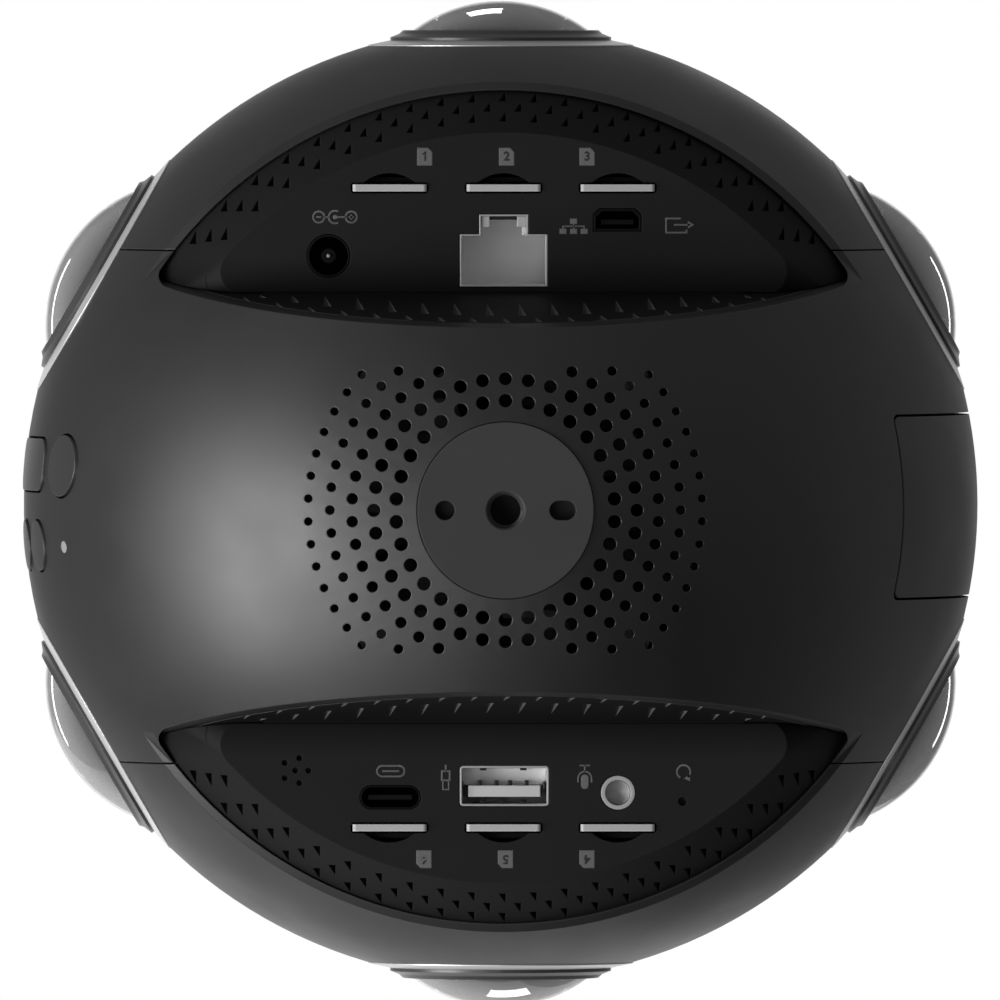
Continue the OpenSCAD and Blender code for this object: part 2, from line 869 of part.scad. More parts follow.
module battery_case() color("#2a2a2c") at_center() {
    difference() {
        along_x(battery_back, battery_front) rounded(battery_w, battery_h, battery_corner);
        for (i = [-1.5:1.5]) translate([battery_back - eps, 0, i * contact_pitch])
            rotate([0, 90, 0]) cylinder(h = contact_dip, r = contact_r + bay_gap);
    }
}

module battery_bay() color("#4a4c50") at_center() {
    difference() {
        intersection() {
            union() {
                block(bay_back, bay_front, -bay_half_y, bay_half_y, -bay_half_z, bay_half_z);
                for (x = boss_x, y = [-boss_y, boss_y])
                    translate([x, y, bay_half_z - eps]) cylinder(h = boss_h + eps, r = boss_r);
            }
            sphere(inner_r - fit_gap * 2);
        }
        along_x(battery_back - bay_gap, far)
            square([battery_w + 2 * bay_gap, battery_h + 2 * bay_gap], center = true);
        for (i = [-1.5:1.5]) translate([bay_back - over, 0, i * contact_pitch])
            rotate([0, 90, 0]) cylinder(h = bay_end + 2 * over, r = contact_r);
    }
}

// Spring pins in the bay's end wall
module battery_contacts() color("#c9a54a") at_center() {
    for (i = [-1.5:1.5]) translate([bay_back - contact_tail, 0, i * contact_pitch])
        rotate([0, 90, 0]) cylinder(h = bay_end + contact_tail + bay_gap / 2, r = contact_r - pin_gap);
}

// Deepest place where a button's flange clears the inside of the shell
function flange_x(at, w, h) =
    let (y = abs(at[0]) + w / 2 + flange_lip, z = abs(at[1]) + h / 2 + flange_lip)
    button_gap - sqrt(inner_r ^ 2 - y ^ 2 - z ^ 2);

module push_button(at, w, h, corner) {
    x = flange_x(at, w, h);
    intersection() {
        sphere(ball_r + button_proud);
        along_x(-far, x + eps) pill(at, w, h, corner, -button_gap);
    }
    along_x(x, x + button_flange_t) pill(at, w, h, corner, flange_lip - button_gap);
    along_x(x, stem_tip) translate(at) circle(stem_r);
}

module round_button(at, r) {
    push_button(at, 2 * r, 2 * r, r);
}

module shutter_button() color("#343436") at_center() push_button(tall_at, tall_w, tall_h, tall_corner);

module power_button() color("#343436") at_center() round_button(large_at, large_r);

module mode_button() color("#343436") at_center() round_button(mode_at, small_r);

module select_button() color("#343436") at_center() round_button(select_at, small_r);

module button_board() color("#1d5c3a") at_center() {
    half = button_board_half;
    top = window_z + window_h / 2 + button_board_rim;
    bottom = large_at[1] - large_r - button_board_rim;
    block(board_x, front_wall_x - eps, -half, half, bottom, top);
    for (at = [tall_at, large_at, mode_at, select_at])
        along_x(board_x - switch_h, board_x + eps) translate(at) circle(switch_r);
}

module display_window() color("#101012") at_center() {
    intersection() {
        difference() {
            sphere(ball_r);
            sphere(ball_r - window_t);
        }
        along_x(-far, front_wall_x) pill([0, window_z], window_w, window_h, window_corner, 0);
    }
}

module display_panel() color("#1a2a4a") at_center() {
    half_w = window_w / 2 - screen_rim;
    half_h = window_h / 2 - screen_rim / 2;
    glass = ball_r - window_t;
    face_x = -sqrt(glass ^ 2 - half_w ^ 2 - (window_z + half_h) ^ 2) + fit_gap * 2;
    block(face_x, face_x + screen_t, -half_w, half_w, window_z - half_h, window_z + half_h);
    for (y = [-1, 1], z = [-1, 1])
        along_x(face_x + screen_t - eps, board_x)
            translate([y * (half_w - screen_post_in), window_z + z * (half_h - screen_post_in)])
                circle(screen_post_r);
}

module indicator_light() color("#e8e8e6") at_center() {
    intersection() {
        sphere(ball_r);
        along_x(-far, board_x) translate(light_at) circle(light_r);
    }
}

// Sockets start just inside their panel's face and reach the board behind it
module port_block(z0, z1) {
    translate([0, 0, z0]) linear_extrude(z1 - z0) children();
}

module dc_jack() color("#18181a") at_center() {
    floor_z = port_face + dc_depth;
    port_block(floor_z, port_board_z) translate(dc_at) circle(dc_out_r);
    difference() {
        port_block(port_face, floor_z + eps) translate(dc_at) circle(dc_out_r);
        port_block(port_face - over, floor_z) translate(dc_at) circle(d = dc_d);
    }
    port_block(port_face + dc_pin_set, floor_z + eps) translate(dc_at) circle(d = dc_pin_d);
}

module lan_jack() color("#b4b6b8") at_center() {
    difference() {
        port_block(port_face, port_board_z) lan_outline(lan_wall);
        port_block(port_face - over, port_face + lan_depth) lan_outline(0);
    }
}

module hdmi_port() color("#161618") at_center() {
    difference() {
        port_block(port_face, port_board_z) hdmi_outline(shell_t);
        port_block(port_face - over, port_face + hdmi_depth) hdmi_outline(0);
    }
    port_block(port_face + tongue_set, port_face + hdmi_depth + eps)
        translate(hdmi_at + [0, hdmi_tongue_up]) square(hdmi_tongue, center = true);
}

module usb_c_port() color("#161618") at_center() {
    difference() {
        port_block(port_face, port_board_z) usb_c_outline(usb_c_rim);
        port_block(port_face - over, port_face + usb_c_depth) usb_c_outline(0);
    }
    port_block(port_face + tongue_set, port_face + usb_c_depth + eps)
        translate(usb_c_at) square(usb_c_tongue, center = true);
}

module usb_a_port() color("#b4b6b8") at_center() {
    tongue_y = usb_a_h / 2 - shell_t - usb_a_tongue_gap - usb_a_tongue[1] / 2;
    difference() {
        port_block(port_face, port_board_z) usb_a_outline(0);
        port_block(port_face - over, port_face + usb_a_depth) usb_a_outline(-shell_t);
    }
    port_block(port_face + tongue_set, port_face + usb_a_depth + eps)
        translate(usb_a_at + [0, tongue_y]) square(usb_a_tongue, center = true);
}

module audio_jack() color("#a8a9aa") at_center() {
    difference() {
        port_block(port_face - fit_gap, port_board_z) translate(audio_at) circle(d = audio_ring_d);
        port_block(port_face - over, port_face + audio_depth) translate(audio_at) circle(d = audio_d);
    }
}

module reset_button() color("#2c2c2e") at_center() {
    port_block(reset_z, reset_z + reset_len) translate(reset_at) circle(reset_r);
}

module microphone() color("#8d8f92") at_center() {
    port_block(panel_top, panel_top + mic_h) translate(mic_at) circle(mic_ring_r + mic_rim);
}

module card_socket() {
    difference() {
        block(-socket_w / 2, socket_w / 2, -socket_t / 2, socket_t / 2, panel_top, port_board_z);
        port_block(panel_top - over, card_z + card_len + 2 * card_gap)
            square([card_w + 2 * card_gap, card_t + 2 * card_gap], center = true);
    }
}

module card_sockets(side) {
    for (n = [1:card_count])
        if (card_side(n) == side) translate([card_x(n), side * card_y, 0]) card_socket();
}

module front_card_sockets() color("#9a9c9e") at_center() card_sockets(-1);

module rear_card_sockets() color("#9a9c9e") at_center() card_sockets(1);

module memory_card(n) color("#c8c8c6") at_center() {
    translate([card_x(n), card_side(n) * card_y, card_z + card_len / 2])
        rotate([90, 0, 0]) linear_extrude(card_t, center = true) rounded(card_w, card_len, card_corner);
}

// Boards behind the panels, reaching past the outermost sockets
module port_board(side, x0, x1) {
    z1 = port_board_z + port_board_t;
    on_side(side) block(x0, x1, board_y0, board_y1, port_board_z, z1);
}

module front_port_board() color("#1d5c3a") at_center() {
    port_board(-1, dc_at[0] - board_margin, card_pitch + socket_w / 2);
}

module rear_port_board() color("#1d5c3a") at_center() {
    switch_z = reset_z + reset_show;
    port_board(1, -card_pitch - socket_w / 2, reset_at[0] + board_margin);
    difference() {
        port_block(switch_z, port_board_z + eps) translate(reset_at) circle(reset_r + reset_sleeve);
        port_block(switch_z - over, reset_z + reset_len + reset_travel + fit_gap)
            translate(reset_at) circle(reset_r + fit_gap);
    }
}

// A six-sided ring with flanges and legs that carries the lenses and the shells
module hexagon(d) {
    circle(r = d / cos(180 / lens_count), $fn = lens_count);
}

module inner_frame() color("#8e9196") at_center() {
    flange_d = shoulder_d - frame_flange - frame_t;
    difference() {
        union() {
            difference() {
                translate([0, 0, -frame_half_h]) linear_extrude(2 * frame_half_h) hexagon(shoulder_d);
                translate([0, 0, -far / 2]) linear_extrude(far) hexagon(flange_d);
                translate([0, 0, frame_t - frame_half_h]) linear_extrude(2 * (frame_half_h - frame_t))
                    hexagon(shoulder_d - frame_t);
                block(-far, front_wall_x, -far, far, -far, far);
            }
            along_x(front_wall_x, front_wall_x + frame_t)
                square([2 * front_wall_half, 2 * frame_half_h], center = true);
            intersection() {
                sphere(inner_r - fit_gap);
                for (x = [-leg_x, leg_x], y = [-leg_y, leg_y], top = [0, 1]) mirror([0, 0, top])
                    translate([x, y, frame_half_h - eps]) cylinder(h = far, r = leg_r);
            }
        }
        for (n = [1:lens_count]) lens_axis(n) translate([0, 0, flange_d - frame_t])
            cylinder(h = frame_flange + 4 * frame_t, r = tube_r + inset_gap);
        block(0, far, -bay_half_y - inset_gap, bay_half_y + inset_gap, -far, far);
    }
}

module main_board() color("#1d5c3a") at_center() {
    z = bay_half_z + boss_h;
    half = chip_side / 2;
    block(-board_half_x, board_half_x, -board_half_y, board_half_y, z, z + board_t);
    for (x = [-board_half_x / 2, board_half_x / 2])
        block(x - half, x + half, -half, half, z + board_t - eps, z + board_t + chip_h);
}

module fan_ears() {
    for (x = [-fan_ear, fan_ear], y = [-fan_ear, fan_ear]) translate([x, y, 0]) children();
}

module heat_sink() color("#6f7276") at_center() {
    plate_z = sink_top - sink_t;
    rows = floor(sink_half_y / fin_pitch);
    difference() {
        union() {
            block(-sink_half_x, sink_half_x, -sink_half_y, sink_half_y, plate_z, sink_top);
            for (i = [-rows:rows]) translate([0, i * fin_pitch, 0])
                block(-sink_half_x, sink_half_x, -fin_t / 2, fin_t / 2, fan_top, plate_z + eps);
            fan_ears() translate([0, 0, fan_top]) cylinder(h = fin_h + eps, r = fan_ear_r);
        }
        fan_ears() translate([0, 0, fan_top - over]) cylinder(h = fin_h, r = screw_r + pin_gap);
    }
}

module fan_housing() color("#1a1a1c") at_center() {
    bore_r = fan_r - fan_wall;
    ear_reach = fan_ear * sqrt(2);
    difference() {
        union() {
            translate([0, 0, fan_bottom]) cylinder(h = fan_h, r = fan_r);
            fan_ears() translate([0, 0, fan_bottom]) cylinder(h = fan_h, r = fan_ear_r);
            for (turn = [45:90:315]) rotate([0, 0, turn])
                block(bore_r, ear_reach, -fan_web, fan_web, fan_bottom + strut_up, fan_top - strut_up);
        }
        translate([0, 0, fan_bottom - over]) cylinder(h = fan_h + 2 * over, r = bore_r);
        fan_ears() translate([0, 0, fan_bottom - over])
            cylinder(h = fan_h + 2 * over, r = screw_r + fit_gap);
    }
    translate([0, 0, fan_bottom]) cylinder(h = motor_t, r = motor_r);
    for (turn = [0:120:240]) rotate([0, 0, turn + 30])
        translate([motor_r - strut_root, -strut_half, fan_bottom + strut_up])
            cube([bore_r - motor_r + 2 * strut_root, 2 * strut_half, strut_t]);
    translate([0, 0, fan_bottom + strut_up]) cylinder(h = fan_h - strut_up - shaft_short, r = shaft_r);
}

module fan_rotor() color("#232325") at_center() {
    z0 = fan_bottom + motor_t + tip_gap;
    z1 = fan_top - tip_gap;
    tip_r = fan_r - fan_wall - tip_gap;
    difference() {
        union() {
            translate([0, 0, z0]) cylinder(h = z1 - z0, r = hub_r);
            intersection() {
                translate([0, 0, z0]) cylinder(h = z1 - z0, r = tip_r);
                for (i = [1:blade_count]) rotate([0, 0, 360 / blade_count * i])
                    translate([(hub_r + tip_r) / 2, 0, (z0 + z1) / 2]) rotate([blade_tilt, 0, 0])
                        cube([tip_r - hub_r + 2 * blade_root, blade_t, 2 * (z1 - z0)], center = true);
            }
        }
        translate([0, 0, z0 - over]) cylinder(h = z1 - z0 + 2 * over, r = shaft_r + shaft_gap);
    }
}

module fan_screws() color("#a4a6a8") at_center() {
    fan_ears() {
        translate([0, 0, fan_bottom - screw_head_h]) cylinder(h = screw_head_h, r = screw_head_r);
        translate([0, 0, fan_bottom - eps]) cylinder(h = fan_h + fin_h - screw_short, r = screw_r);
    }
}

// Satin metal ring that fills a lens facet
module lens_seats() color("#c4c6c8") at_lenses() {
    edge_r = facet_r - pin_gap;
    rim_h = 0.15;
    rotate_extrude() polygon([
        [seat_bore, seat_base],
        [seat_hole_r - fit_gap, seat_base],
        [seat_hole_r - fit_gap, facet_d],
        [edge_r, facet_d],
        [edge_r, facet_d + rim_h],
        [bezel_r + fit_gap, seat_top],
        [seat_bore, seat_top]
    ]);
}

module lens_bezels() color("#1c1c1e") at_lenses() {
    neck_r = seat_bore - fit_gap;
    step_r = bezel_bore + 0.85;
    foot_r = step_r + 0.55;
    foot_drop = 0.3;
    edge_h = 0.45;
    rotate_extrude() polygon([
        [bezel_bore, seat_base],
        [neck_r, seat_base],
        [neck_r, seat_top],
        [bezel_r, seat_top],
        [bezel_r, seat_top + edge_h],
        [foot_r, bezel_top - foot_drop],
        [step_r, step_top],
        [bezel_bore, step_top]
    ]);
}

module lens_glass(n) color("#dfe6ea", 0.4) at_center() lens_axis(n) {
    difference() {
        union() {
            translate([0, 0, seat_base]) cylinder(h = glass_base - seat_base, r = glass_r);
            intersection() {
                translate([0, 0, dome_c]) sphere(dome_r);
                translate([0, 0, glass_base - eps]) cylinder(h = dome_r, r = glass_r);
            }
        }
        translate([0, 0, glass_tip - glass_t - hollow_r]) sphere(hollow_r);
    }
}

module lens_barrels() color("#1a1a1c") at_lenses() {
    flange_r = seat_hole_r - fit_gap;
    mouth_lip = 1;
    mouth_r = glass_r - mouth_lip;
    step_d = seat_base - mouth_lip;
    rotate_extrude() polygon([
        [tube_bore, tube_end_d],
        [tube_r, tube_end_d],
        [tube_r, shoulder_d],
        [barrel_r, shoulder_d],
        [barrel_r, seat_base - flange_t],
        [flange_r, seat_base - flange_t],
        [flange_r, seat_base],
        [mouth_r, seat_base],
        [mouth_r, step_d],
        [element_r + fit_gap, element_edge],
        [element_r + fit_gap, element_base],
        [tube_bore, element_base]
    ]);
}

module lens_elements() color("#9fb0ba", 0.5) at_lenses() {
    drop = element_dome - sqrt(element_dome ^ 2 - element_r ^ 2);
    translate([0, 0, element_base]) cylinder(h = element_edge - element_base, r = element_r);
    intersection() {
        translate([0, 0, element_edge + drop - element_dome]) sphere(element_dome);
        translate([0, 0, element_edge - eps]) cylinder(h = element_dome, r = element_r);
    }
}

module sensor_boards() color("#1d5c3a") at_lenses() {
    half = sensor_side / 2;
    chip = sensor_chip / 2;
    block(-half, half, -half, half, tube_end_d - sensor_t, tube_end_d);
    block(-chip, chip, -chip, chip, tube_end_d - eps, tube_end_d + sensor_chip_h);
}

lower_shell();
upper_shell();
front_cap();
rear_cap();
front_port_panel();
rear_port_panel();
front_vent_ring();
rear_vent_ring();
front_top_vent();
rear_top_vent();
vent_walls();
tripod_plate();
battery_cover();
battery_case();
battery_bay();
battery_contacts();
shutter_button();
power_button();
mode_button();
select_button();
button_board();
display_window();
display_panel();
indicator_light();
dc_jack();
lan_jack();
hdmi_port();
usb_c_port();
usb_a_port();
audio_jack();
reset_button();
microphone();
front_card_sockets();
rear_card_sockets();
front_port_board();
rear_port_board();
inner_frame();
main_board();
heat_sink();
fan_housing();
fan_rotor();
fan_screws();
lens_seats();
lens_bezels();
lens_barrels();
lens_elements();
sensor_boards();
for (n = [1:lens_count]) lens_glass(n);
for (n = [1:card_count]) memory_card(n);
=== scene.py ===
import json
import math

import bmesh
import bpy
from mathutils import Matrix, Vector

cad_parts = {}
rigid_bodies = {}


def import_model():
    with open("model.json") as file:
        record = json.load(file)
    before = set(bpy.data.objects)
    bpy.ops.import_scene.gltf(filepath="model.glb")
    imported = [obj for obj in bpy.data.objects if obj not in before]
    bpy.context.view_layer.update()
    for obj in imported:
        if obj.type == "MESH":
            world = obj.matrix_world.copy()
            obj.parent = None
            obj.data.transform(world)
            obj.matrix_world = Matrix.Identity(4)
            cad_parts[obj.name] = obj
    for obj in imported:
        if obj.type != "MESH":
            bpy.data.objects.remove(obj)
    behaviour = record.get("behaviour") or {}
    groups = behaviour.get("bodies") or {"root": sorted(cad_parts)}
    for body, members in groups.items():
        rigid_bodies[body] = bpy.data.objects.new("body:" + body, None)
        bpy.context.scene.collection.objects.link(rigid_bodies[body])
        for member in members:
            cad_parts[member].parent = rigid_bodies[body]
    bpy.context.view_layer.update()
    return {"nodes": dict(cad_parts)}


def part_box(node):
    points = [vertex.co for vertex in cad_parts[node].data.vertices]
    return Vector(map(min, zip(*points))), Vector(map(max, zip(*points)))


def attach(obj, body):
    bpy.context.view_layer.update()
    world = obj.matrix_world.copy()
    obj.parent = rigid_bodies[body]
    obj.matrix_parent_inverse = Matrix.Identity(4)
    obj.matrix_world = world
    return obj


for leftover in list(bpy.data.objects):
    bpy.data.objects.remove(leftover)
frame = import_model()

# Inner frame and heat sink. The six-sided frame is die-cast aluminium that carries the lenses and the
# shells, and the heat sink is milled from bar. Both are bare grey metal with a fine sandy skin.
MM = 0.001


def new_effect(name, inputs, outputs):
    """A shader node group with named number sockets, and the two nodes that hold them."""
    effect = bpy.data.node_groups.new(name, "ShaderNodeTree")
    for label, value in inputs.items():
        socket = effect.interface.new_socket(label, in_out="INPUT", socket_type="NodeSocketFloat")
        socket.default_value = value
    for label in outputs:
        effect.interface.new_socket(label, in_out="OUTPUT", socket_type="NodeSocketFloat")
    return effect, effect.nodes.new("NodeGroupInput"), effect.nodes.new("NodeGroupOutput")


def add(tree, kind, feeds=None, **options):
    """Adds a shader node, sets its options, and feeds its inputs with values or other sockets."""
    node = tree.nodes.new("ShaderNode" + kind)
    for option, value in options.items():
        setattr(node, option, value)
    for socket, feed in (feeds or {}).items():
        if isinstance(feed, bpy.types.NodeSocket):
            tree.links.new(feed, node.inputs[socket])
        else:
            node.inputs[socket].default_value = feed
    return node


def math_node(tree, operation, first, second=0.0, clamp=False):
    """One sum on numbers or sockets; gives the socket with its result."""
    node = add(tree, "Math", {0: first, 1: second}, operation=operation, use_clamp=clamp)
    return node.outputs[0]


grain, given, result = new_effect("sandy grain", {"Size": 0.2 * MM}, ["Height", "Patches"])
spot = add(grain, "TexCoord").outputs["Object"]
fine_scale = math_node(grain, "DIVIDE", 1.0, given.outputs["Size"])
fine = add(grain, "TexNoise", {"Vector": spot, "Scale": fine_scale, "Detail": 2.0, "Roughness": 0.6})
broad = add(grain, "TexNoise", {"Vector": spot, "Scale": 1 / (18 * MM), "Detail": 4.0})
patches = add(grain, "MapRange", {"Value": broad.outputs["Fac"], "From Min": 0.35, "From Max": 0.65})
grain.links.new(fine.outputs["Fac"], result.inputs["Height"])
grain.links.new(patches.outputs["Result"], result.inputs["Patches"])

wear, given, result = new_effect("edge wear", {"Reach": 0.3 * MM, "Strength": 4.0}, ["Mask"])
spot = add(wear, "TexCoord").outputs["Object"]
softened = add(wear, "Bevel", {"Radius": given.outputs["Reach"]}, samples=4).outputs["Normal"]
flat = add(wear, "NewGeometry").outputs["Normal"]
facing = add(wear, "VectorMath", {0: softened, 1: flat}, operation="DOT_PRODUCT").outputs["Value"]
turned_away = math_node(wear, "SUBTRACT", 1.0, facing)
rubbed = add(wear, "TexNoise", {"Vector": spot, "Scale": 1 / (3 * MM), "Detail": 5.0}).outputs["Fac"]
edge = math_node(wear, "MULTIPLY", turned_away, given.outputs["Strength"], clamp=True)
wear.links.new(math_node(wear, "MULTIPLY", edge, rubbed, clamp=True), result.inputs["Mask"])


def new_finish(name):
    """A material with its tree and its Principled shader, ready for nodes."""
    finish = bpy.data.materials.new(name)
    finish.use_nodes = True
    return finish, finish.node_tree, finish.node_tree.nodes["Principled BSDF"]


def add_effect(tree, effect, **values):
    """Places a shared effect in a material with its own values."""
    node = tree.nodes.new("ShaderNodeGroup")
    node.node_tree = effect
    for label, value in values.items():
        node.inputs[label].default_value = value
    return node


def mix_colour(tree, amount, first, second):
    """Blends two colours or colour sockets by a number socket."""
    node = add(tree, "Mix", {"Factor": amount}, data_type="RGBA")
    for socket, feed in ((node.inputs[6], first), (node.inputs[7], second)):
        if isinstance(feed, bpy.types.NodeSocket):
            tree.links.new(feed, socket)
        else:
            socket.default_value = feed
    return node.outputs[2]


def grey(level, warmth=0.0):
    """A near-neutral colour, a little warmer or cooler."""
    return (level * (1 + warmth), level, level * (1 - warmth), 1.0)


def sandy_finish(name, colour, worn, roughness, grain_size, depth, metallic=0.0, gloss=0.5, edge=0.25 * MM):
    """Blasted, cast or moulded skin: grain in the bump, patchy roughness and edges rubbed to worn."""
    finish, tree, shader = new_finish(name)
    skin = add_effect(tree, grain, Size=grain_size)
    rub = add_effect(tree, wear, Reach=edge * 1.4)
    lighter = tuple(min(1.0, channel * 1.25) for channel in colour[:3]) + (1.0,)
    shade = math_node(tree, "MULTIPLY", skin.outputs["Patches"], 0.35)
    toned = mix_colour(tree, shade, colour, lighter)
    tree.links.new(mix_colour(tree, rub.outputs["Mask"], toned, worn), shader.inputs["Base Color"])
    spread = {"Value": skin.outputs["Patches"], "To Min": roughness - 0.03, "To Max": roughness + 0.04}
    tree.links.new(add(tree, "MapRange", spread).outputs["Result"], shader.inputs["Roughness"])
    shader.inputs["Metallic"].default_value = metallic
    shader.inputs["Specular IOR Level"].default_value = gloss
    softened = add(tree, "Bevel", {"Radius": edge}, samples=4).outputs["Normal"]
    bump = {"Height": skin.outputs["Height"], "Distance": depth, "Strength": 1.0, "Normal": softened}
    tree.links.new(add(tree, "Bump", bump).outputs["Normal"], shader.inputs["Normal"])
    return finish


def dress(finish, *names):
    """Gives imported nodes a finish."""
    for name in names:
        slots = frame["nodes"][name].data.materials
        slots.clear()
        slots.append(finish)


cast_metal = sandy_finish("cast metal", grey(0.34), grey(0.55), 0.45, 0.5 * MM, 0.02 * MM, metallic=1.0)
dress(cast_metal, "inner_frame", "heat_sink")

# Circuit boards: the six sensor boards, the main board, the two port boards and the button board.
# Glass-fibre sheet under green solder mask, with the copper tracks showing as paler lines and tin pads.
boards, tree, shader = new_finish("circuit board")
spot = add(tree, "TexCoord").outputs["Object"]
cells = add(tree, "TexVoronoi", {"Vector": spot, "Scale": 1 / (2.4 * MM)}, distance="CHEBYCHEV")
waves = {"Vector": spot, "Scale": 1 / (6 * MM), "Distortion": 1.5}
rows = add(tree, "TexWave", waves, bands_direction="DIAGONAL")
track = math_node(tree, "GREATER_THAN", rows.outputs["Fac"], 0.86)
pad = math_node(tree, "LESS_THAN", cells.outputs["Distance"], 0.16)
mask = mix_colour(tree, track, (0.006, 0.055, 0.022, 1.0), (0.015, 0.115, 0.045, 1.0))
tree.links.new(mix_colour(tree, pad, mask, grey(0.6)), shader.inputs["Base Color"])
tree.links.new(pad, shader.inputs["Metallic"])
skin = add_effect(tree, grain, Size=0.3 * MM)
lift = math_node(tree, "ADD", math_node(tree, "MULTIPLY", track, 0.5), pad)
bump = add(tree, "Bump", {"Height": lift, "Distance": 0.03 * MM})
tree.links.new(bump.outputs["Normal"], shader.inputs["Normal"])
spread = {"Value": skin.outputs["Patches"], "To Min": 0.28, "To Max": 0.4}
tree.links.new(add(tree, "MapRange", spread).outputs["Result"], shader.inputs["Roughness"])
dress(boards, "sensor_boards", "main_board", "front_port_board", "rear_port_board", "button_board")

# Lens barrels: turned aluminium tubes, anodised black. The cutting tool leaves fine rings round each
# lens axis, which show as faint lines in the gloss.
LENS_COUNT = 6
cap_low, cap_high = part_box("front_cap")
ball_center = Vector((0, 0, (cap_low.z + cap_high.z) / 2))


def lens_frame(number):
    """Place of a lens: the ball's centre, with Z pointing out along the lens axis."""
    turn = Matrix.Rotation(math.radians(360 / LENS_COUNT * (number - 0.5)), 4, "Z")
    return Matrix.Translation(ball_center) @ turn @ Matrix.Rotation(math.pi / 2, 4, "Y")


turning, given, result = new_effect("lens turning", {"Pitch": 0.12 * MM}, ["Height"])
spot = add(turning, "TexCoord").outputs["Object"]
axes = add(turning, "SeparateXYZ", {0: spot}).outputs
bearing = math_node(turning, "ARCTAN2", axes["Y"], axes["X"])
step = 2 * math.pi / LENS_COUNT
sector = math_node(turning, "FLOOR", math_node(turning, "DIVIDE", bearing, step))
middle = math_node(turning, "MULTIPLY", math_node(turning, "ADD", sector, 0.5), step)
reach = math_node(turning, "SQRT", math_node(
    turning, "ADD", math_node(turning, "POWER", axes["X"], 2.0), math_node(turning, "POWER", axes["Y"], 2.0)
))
offside = math_node(turning, "MULTIPLY", reach, math_node(
    turning, "SINE", math_node(turning, "SUBTRACT", bearing, middle)
))
upward = math_node(turning, "SUBTRACT", axes["Z"], ball_center.z)
radius = math_node(turning, "SQRT", math_node(
    turning, "ADD", math_node(turning, "POWER", offside, 2.0), math_node(turning, "POWER", upward, 2.0)
))
lines = add(turning, "TexNoise", {
    "W": math_node(turning, "DIVIDE", radius, given.outputs["Pitch"]), "Scale": 1.0, "Detail": 3.0
}, noise_dimensions="1D")
turning.links.new(lines.outputs["Fac"], result.inputs["Height"])


def turned_finish(name, colour, roughness, pitch, depth, metallic=1.0):
    """Metal turned on a lathe: fine rings in the bump, streaky roughness and softened edges."""
    finish, tree, shader = new_finish(name)
    rings = add_effect(tree, turning, Pitch=pitch)
    rub = add_effect(tree, wear, Reach=0.25 * MM)
    bright = tuple(min(1.0, channel * 1.6 + 0.02) for channel in colour[:3]) + (1.0,)
    tree.links.new(mix_colour(tree, rub.outputs["Mask"], colour, bright), shader.inputs["Base Color"])
    streaks = {"Value": rings.outputs["Height"], "To Min": roughness - 0.06, "To Max": roughness + 0.06}
    tree.links.new(add(tree, "MapRange", streaks).outputs["Result"], shader.inputs["Roughness"])
    shader.inputs["Metallic"].default_value = metallic
    softened = add(tree, "Bevel", {"Radius": 0.12 * MM}, samples=4).outputs["Normal"]
    bump = {"Height": rings.outputs["Height"], "Distance": depth, "Normal": softened}
    tree.links.new(add(tree, "Bump", bump).outputs["Normal"], shader.inputs["Normal"])
    return finish


barrel_black = turned_finish("barrel black", grey(0.018), 0.38, 0.35 * MM, 0.03 * MM, metallic=0.0)
dress(barrel_black, "lens_barrels")

# Second lens elements: deep menisci behind the front glass, with a magenta and green coating that
# shows in the reflections; the glass itself is dark, with the magenta reflection also painted into its
# colour.
coated, tree, shader = new_finish("coated element")
# Painted reflection: the colour turns from dark blue face-on to dark magenta towards grazing.
facing = add(tree, "LayerWeight", {"Blend": 0.35}).outputs["Facing"]
painted_coating_sheen = mix_colour(tree, facing, (0.010, 0.012, 0.020, 1.0), (0.030, 0.014, 0.034, 1.0))
skin = add_effect(tree, grain, Size=2.0 * MM)
tree.links.new(painted_coating_sheen, shader.inputs["Base Color"])
spread = {"Value": skin.outputs["Patches"], "To Min": 0.03, "To Max": 0.07}
tree.links.new(add(tree, "MapRange", spread).outputs["Result"], shader.inputs["Roughness"])
shader.inputs["IOR"].default_value = 1.7
shader.inputs["Coat Weight"].default_value = 1.0
shader.inputs["Coat Roughness"].default_value = 0.02
shader.inputs["Coat Tint"].default_value = (0.75, 0.85, 1.0, 1.0)
dress(coated, "lens_elements")

# Retaining rings behind the front glass. Each is a black ring that is screwed into the barrel's mouth,
# holds the second element down by its edge and backs the flat rim of the front glass.


def lathe(name, outline, place, steps=128):
    """Turns a closed outline of (radius, height) points about Z."""
    mesh = bpy.data.meshes.new(name)
    count = len(outline)
    corners = []
    faces = []
    for step_number in range(steps):
        angle = 2 * math.pi * step_number / steps
        corners += [(reach * math.cos(angle), reach * math.sin(angle), height) for reach, height in outline]
        here = step_number * count
        there = (step_number + 1) % steps * count
        for point in range(count):
            after = (point + 1) % count
            faces.append((here + point, there + point, there + after, here + after))
    mesh.from_pydata(corners, [], faces)
    mesh.transform(place)
    mesh.shade_smooth()
    mesh.set_sharp_from_angle(angle=math.radians(35))
    piece = bpy.data.objects.new(name, mesh)
    bpy.context.scene.collection.objects.link(piece)
    return piece


glass_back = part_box("lens_glass_2")[0].y - ball_center.y
ring_outline = [
    (7.4 * MM, glass_back - 0.2 * MM),
    (7.4 * MM, glass_back - 0.8 * MM),
    (7.6 * MM, glass_back - 1.35 * MM),
    (8.9 * MM, glass_back - 2.25 * MM),
    (11.9 * MM, glass_back - 0.9 * MM),
    (11.9 * MM, glass_back - 0.05 * MM),
    (7.55 * MM, glass_back - 0.05 * MM),
]
retainer_black = turned_finish("retainer black", grey(0.02), 0.3, 0.25 * MM, 0.01 * MM, metallic=0.0)
for number in range(1, LENS_COUNT + 1):
    retainer = lathe(f"lens_retainer_{number}", ring_outline, lens_frame(number))
    retainer.data.materials.append(retainer_black)
    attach(retainer, "housing")

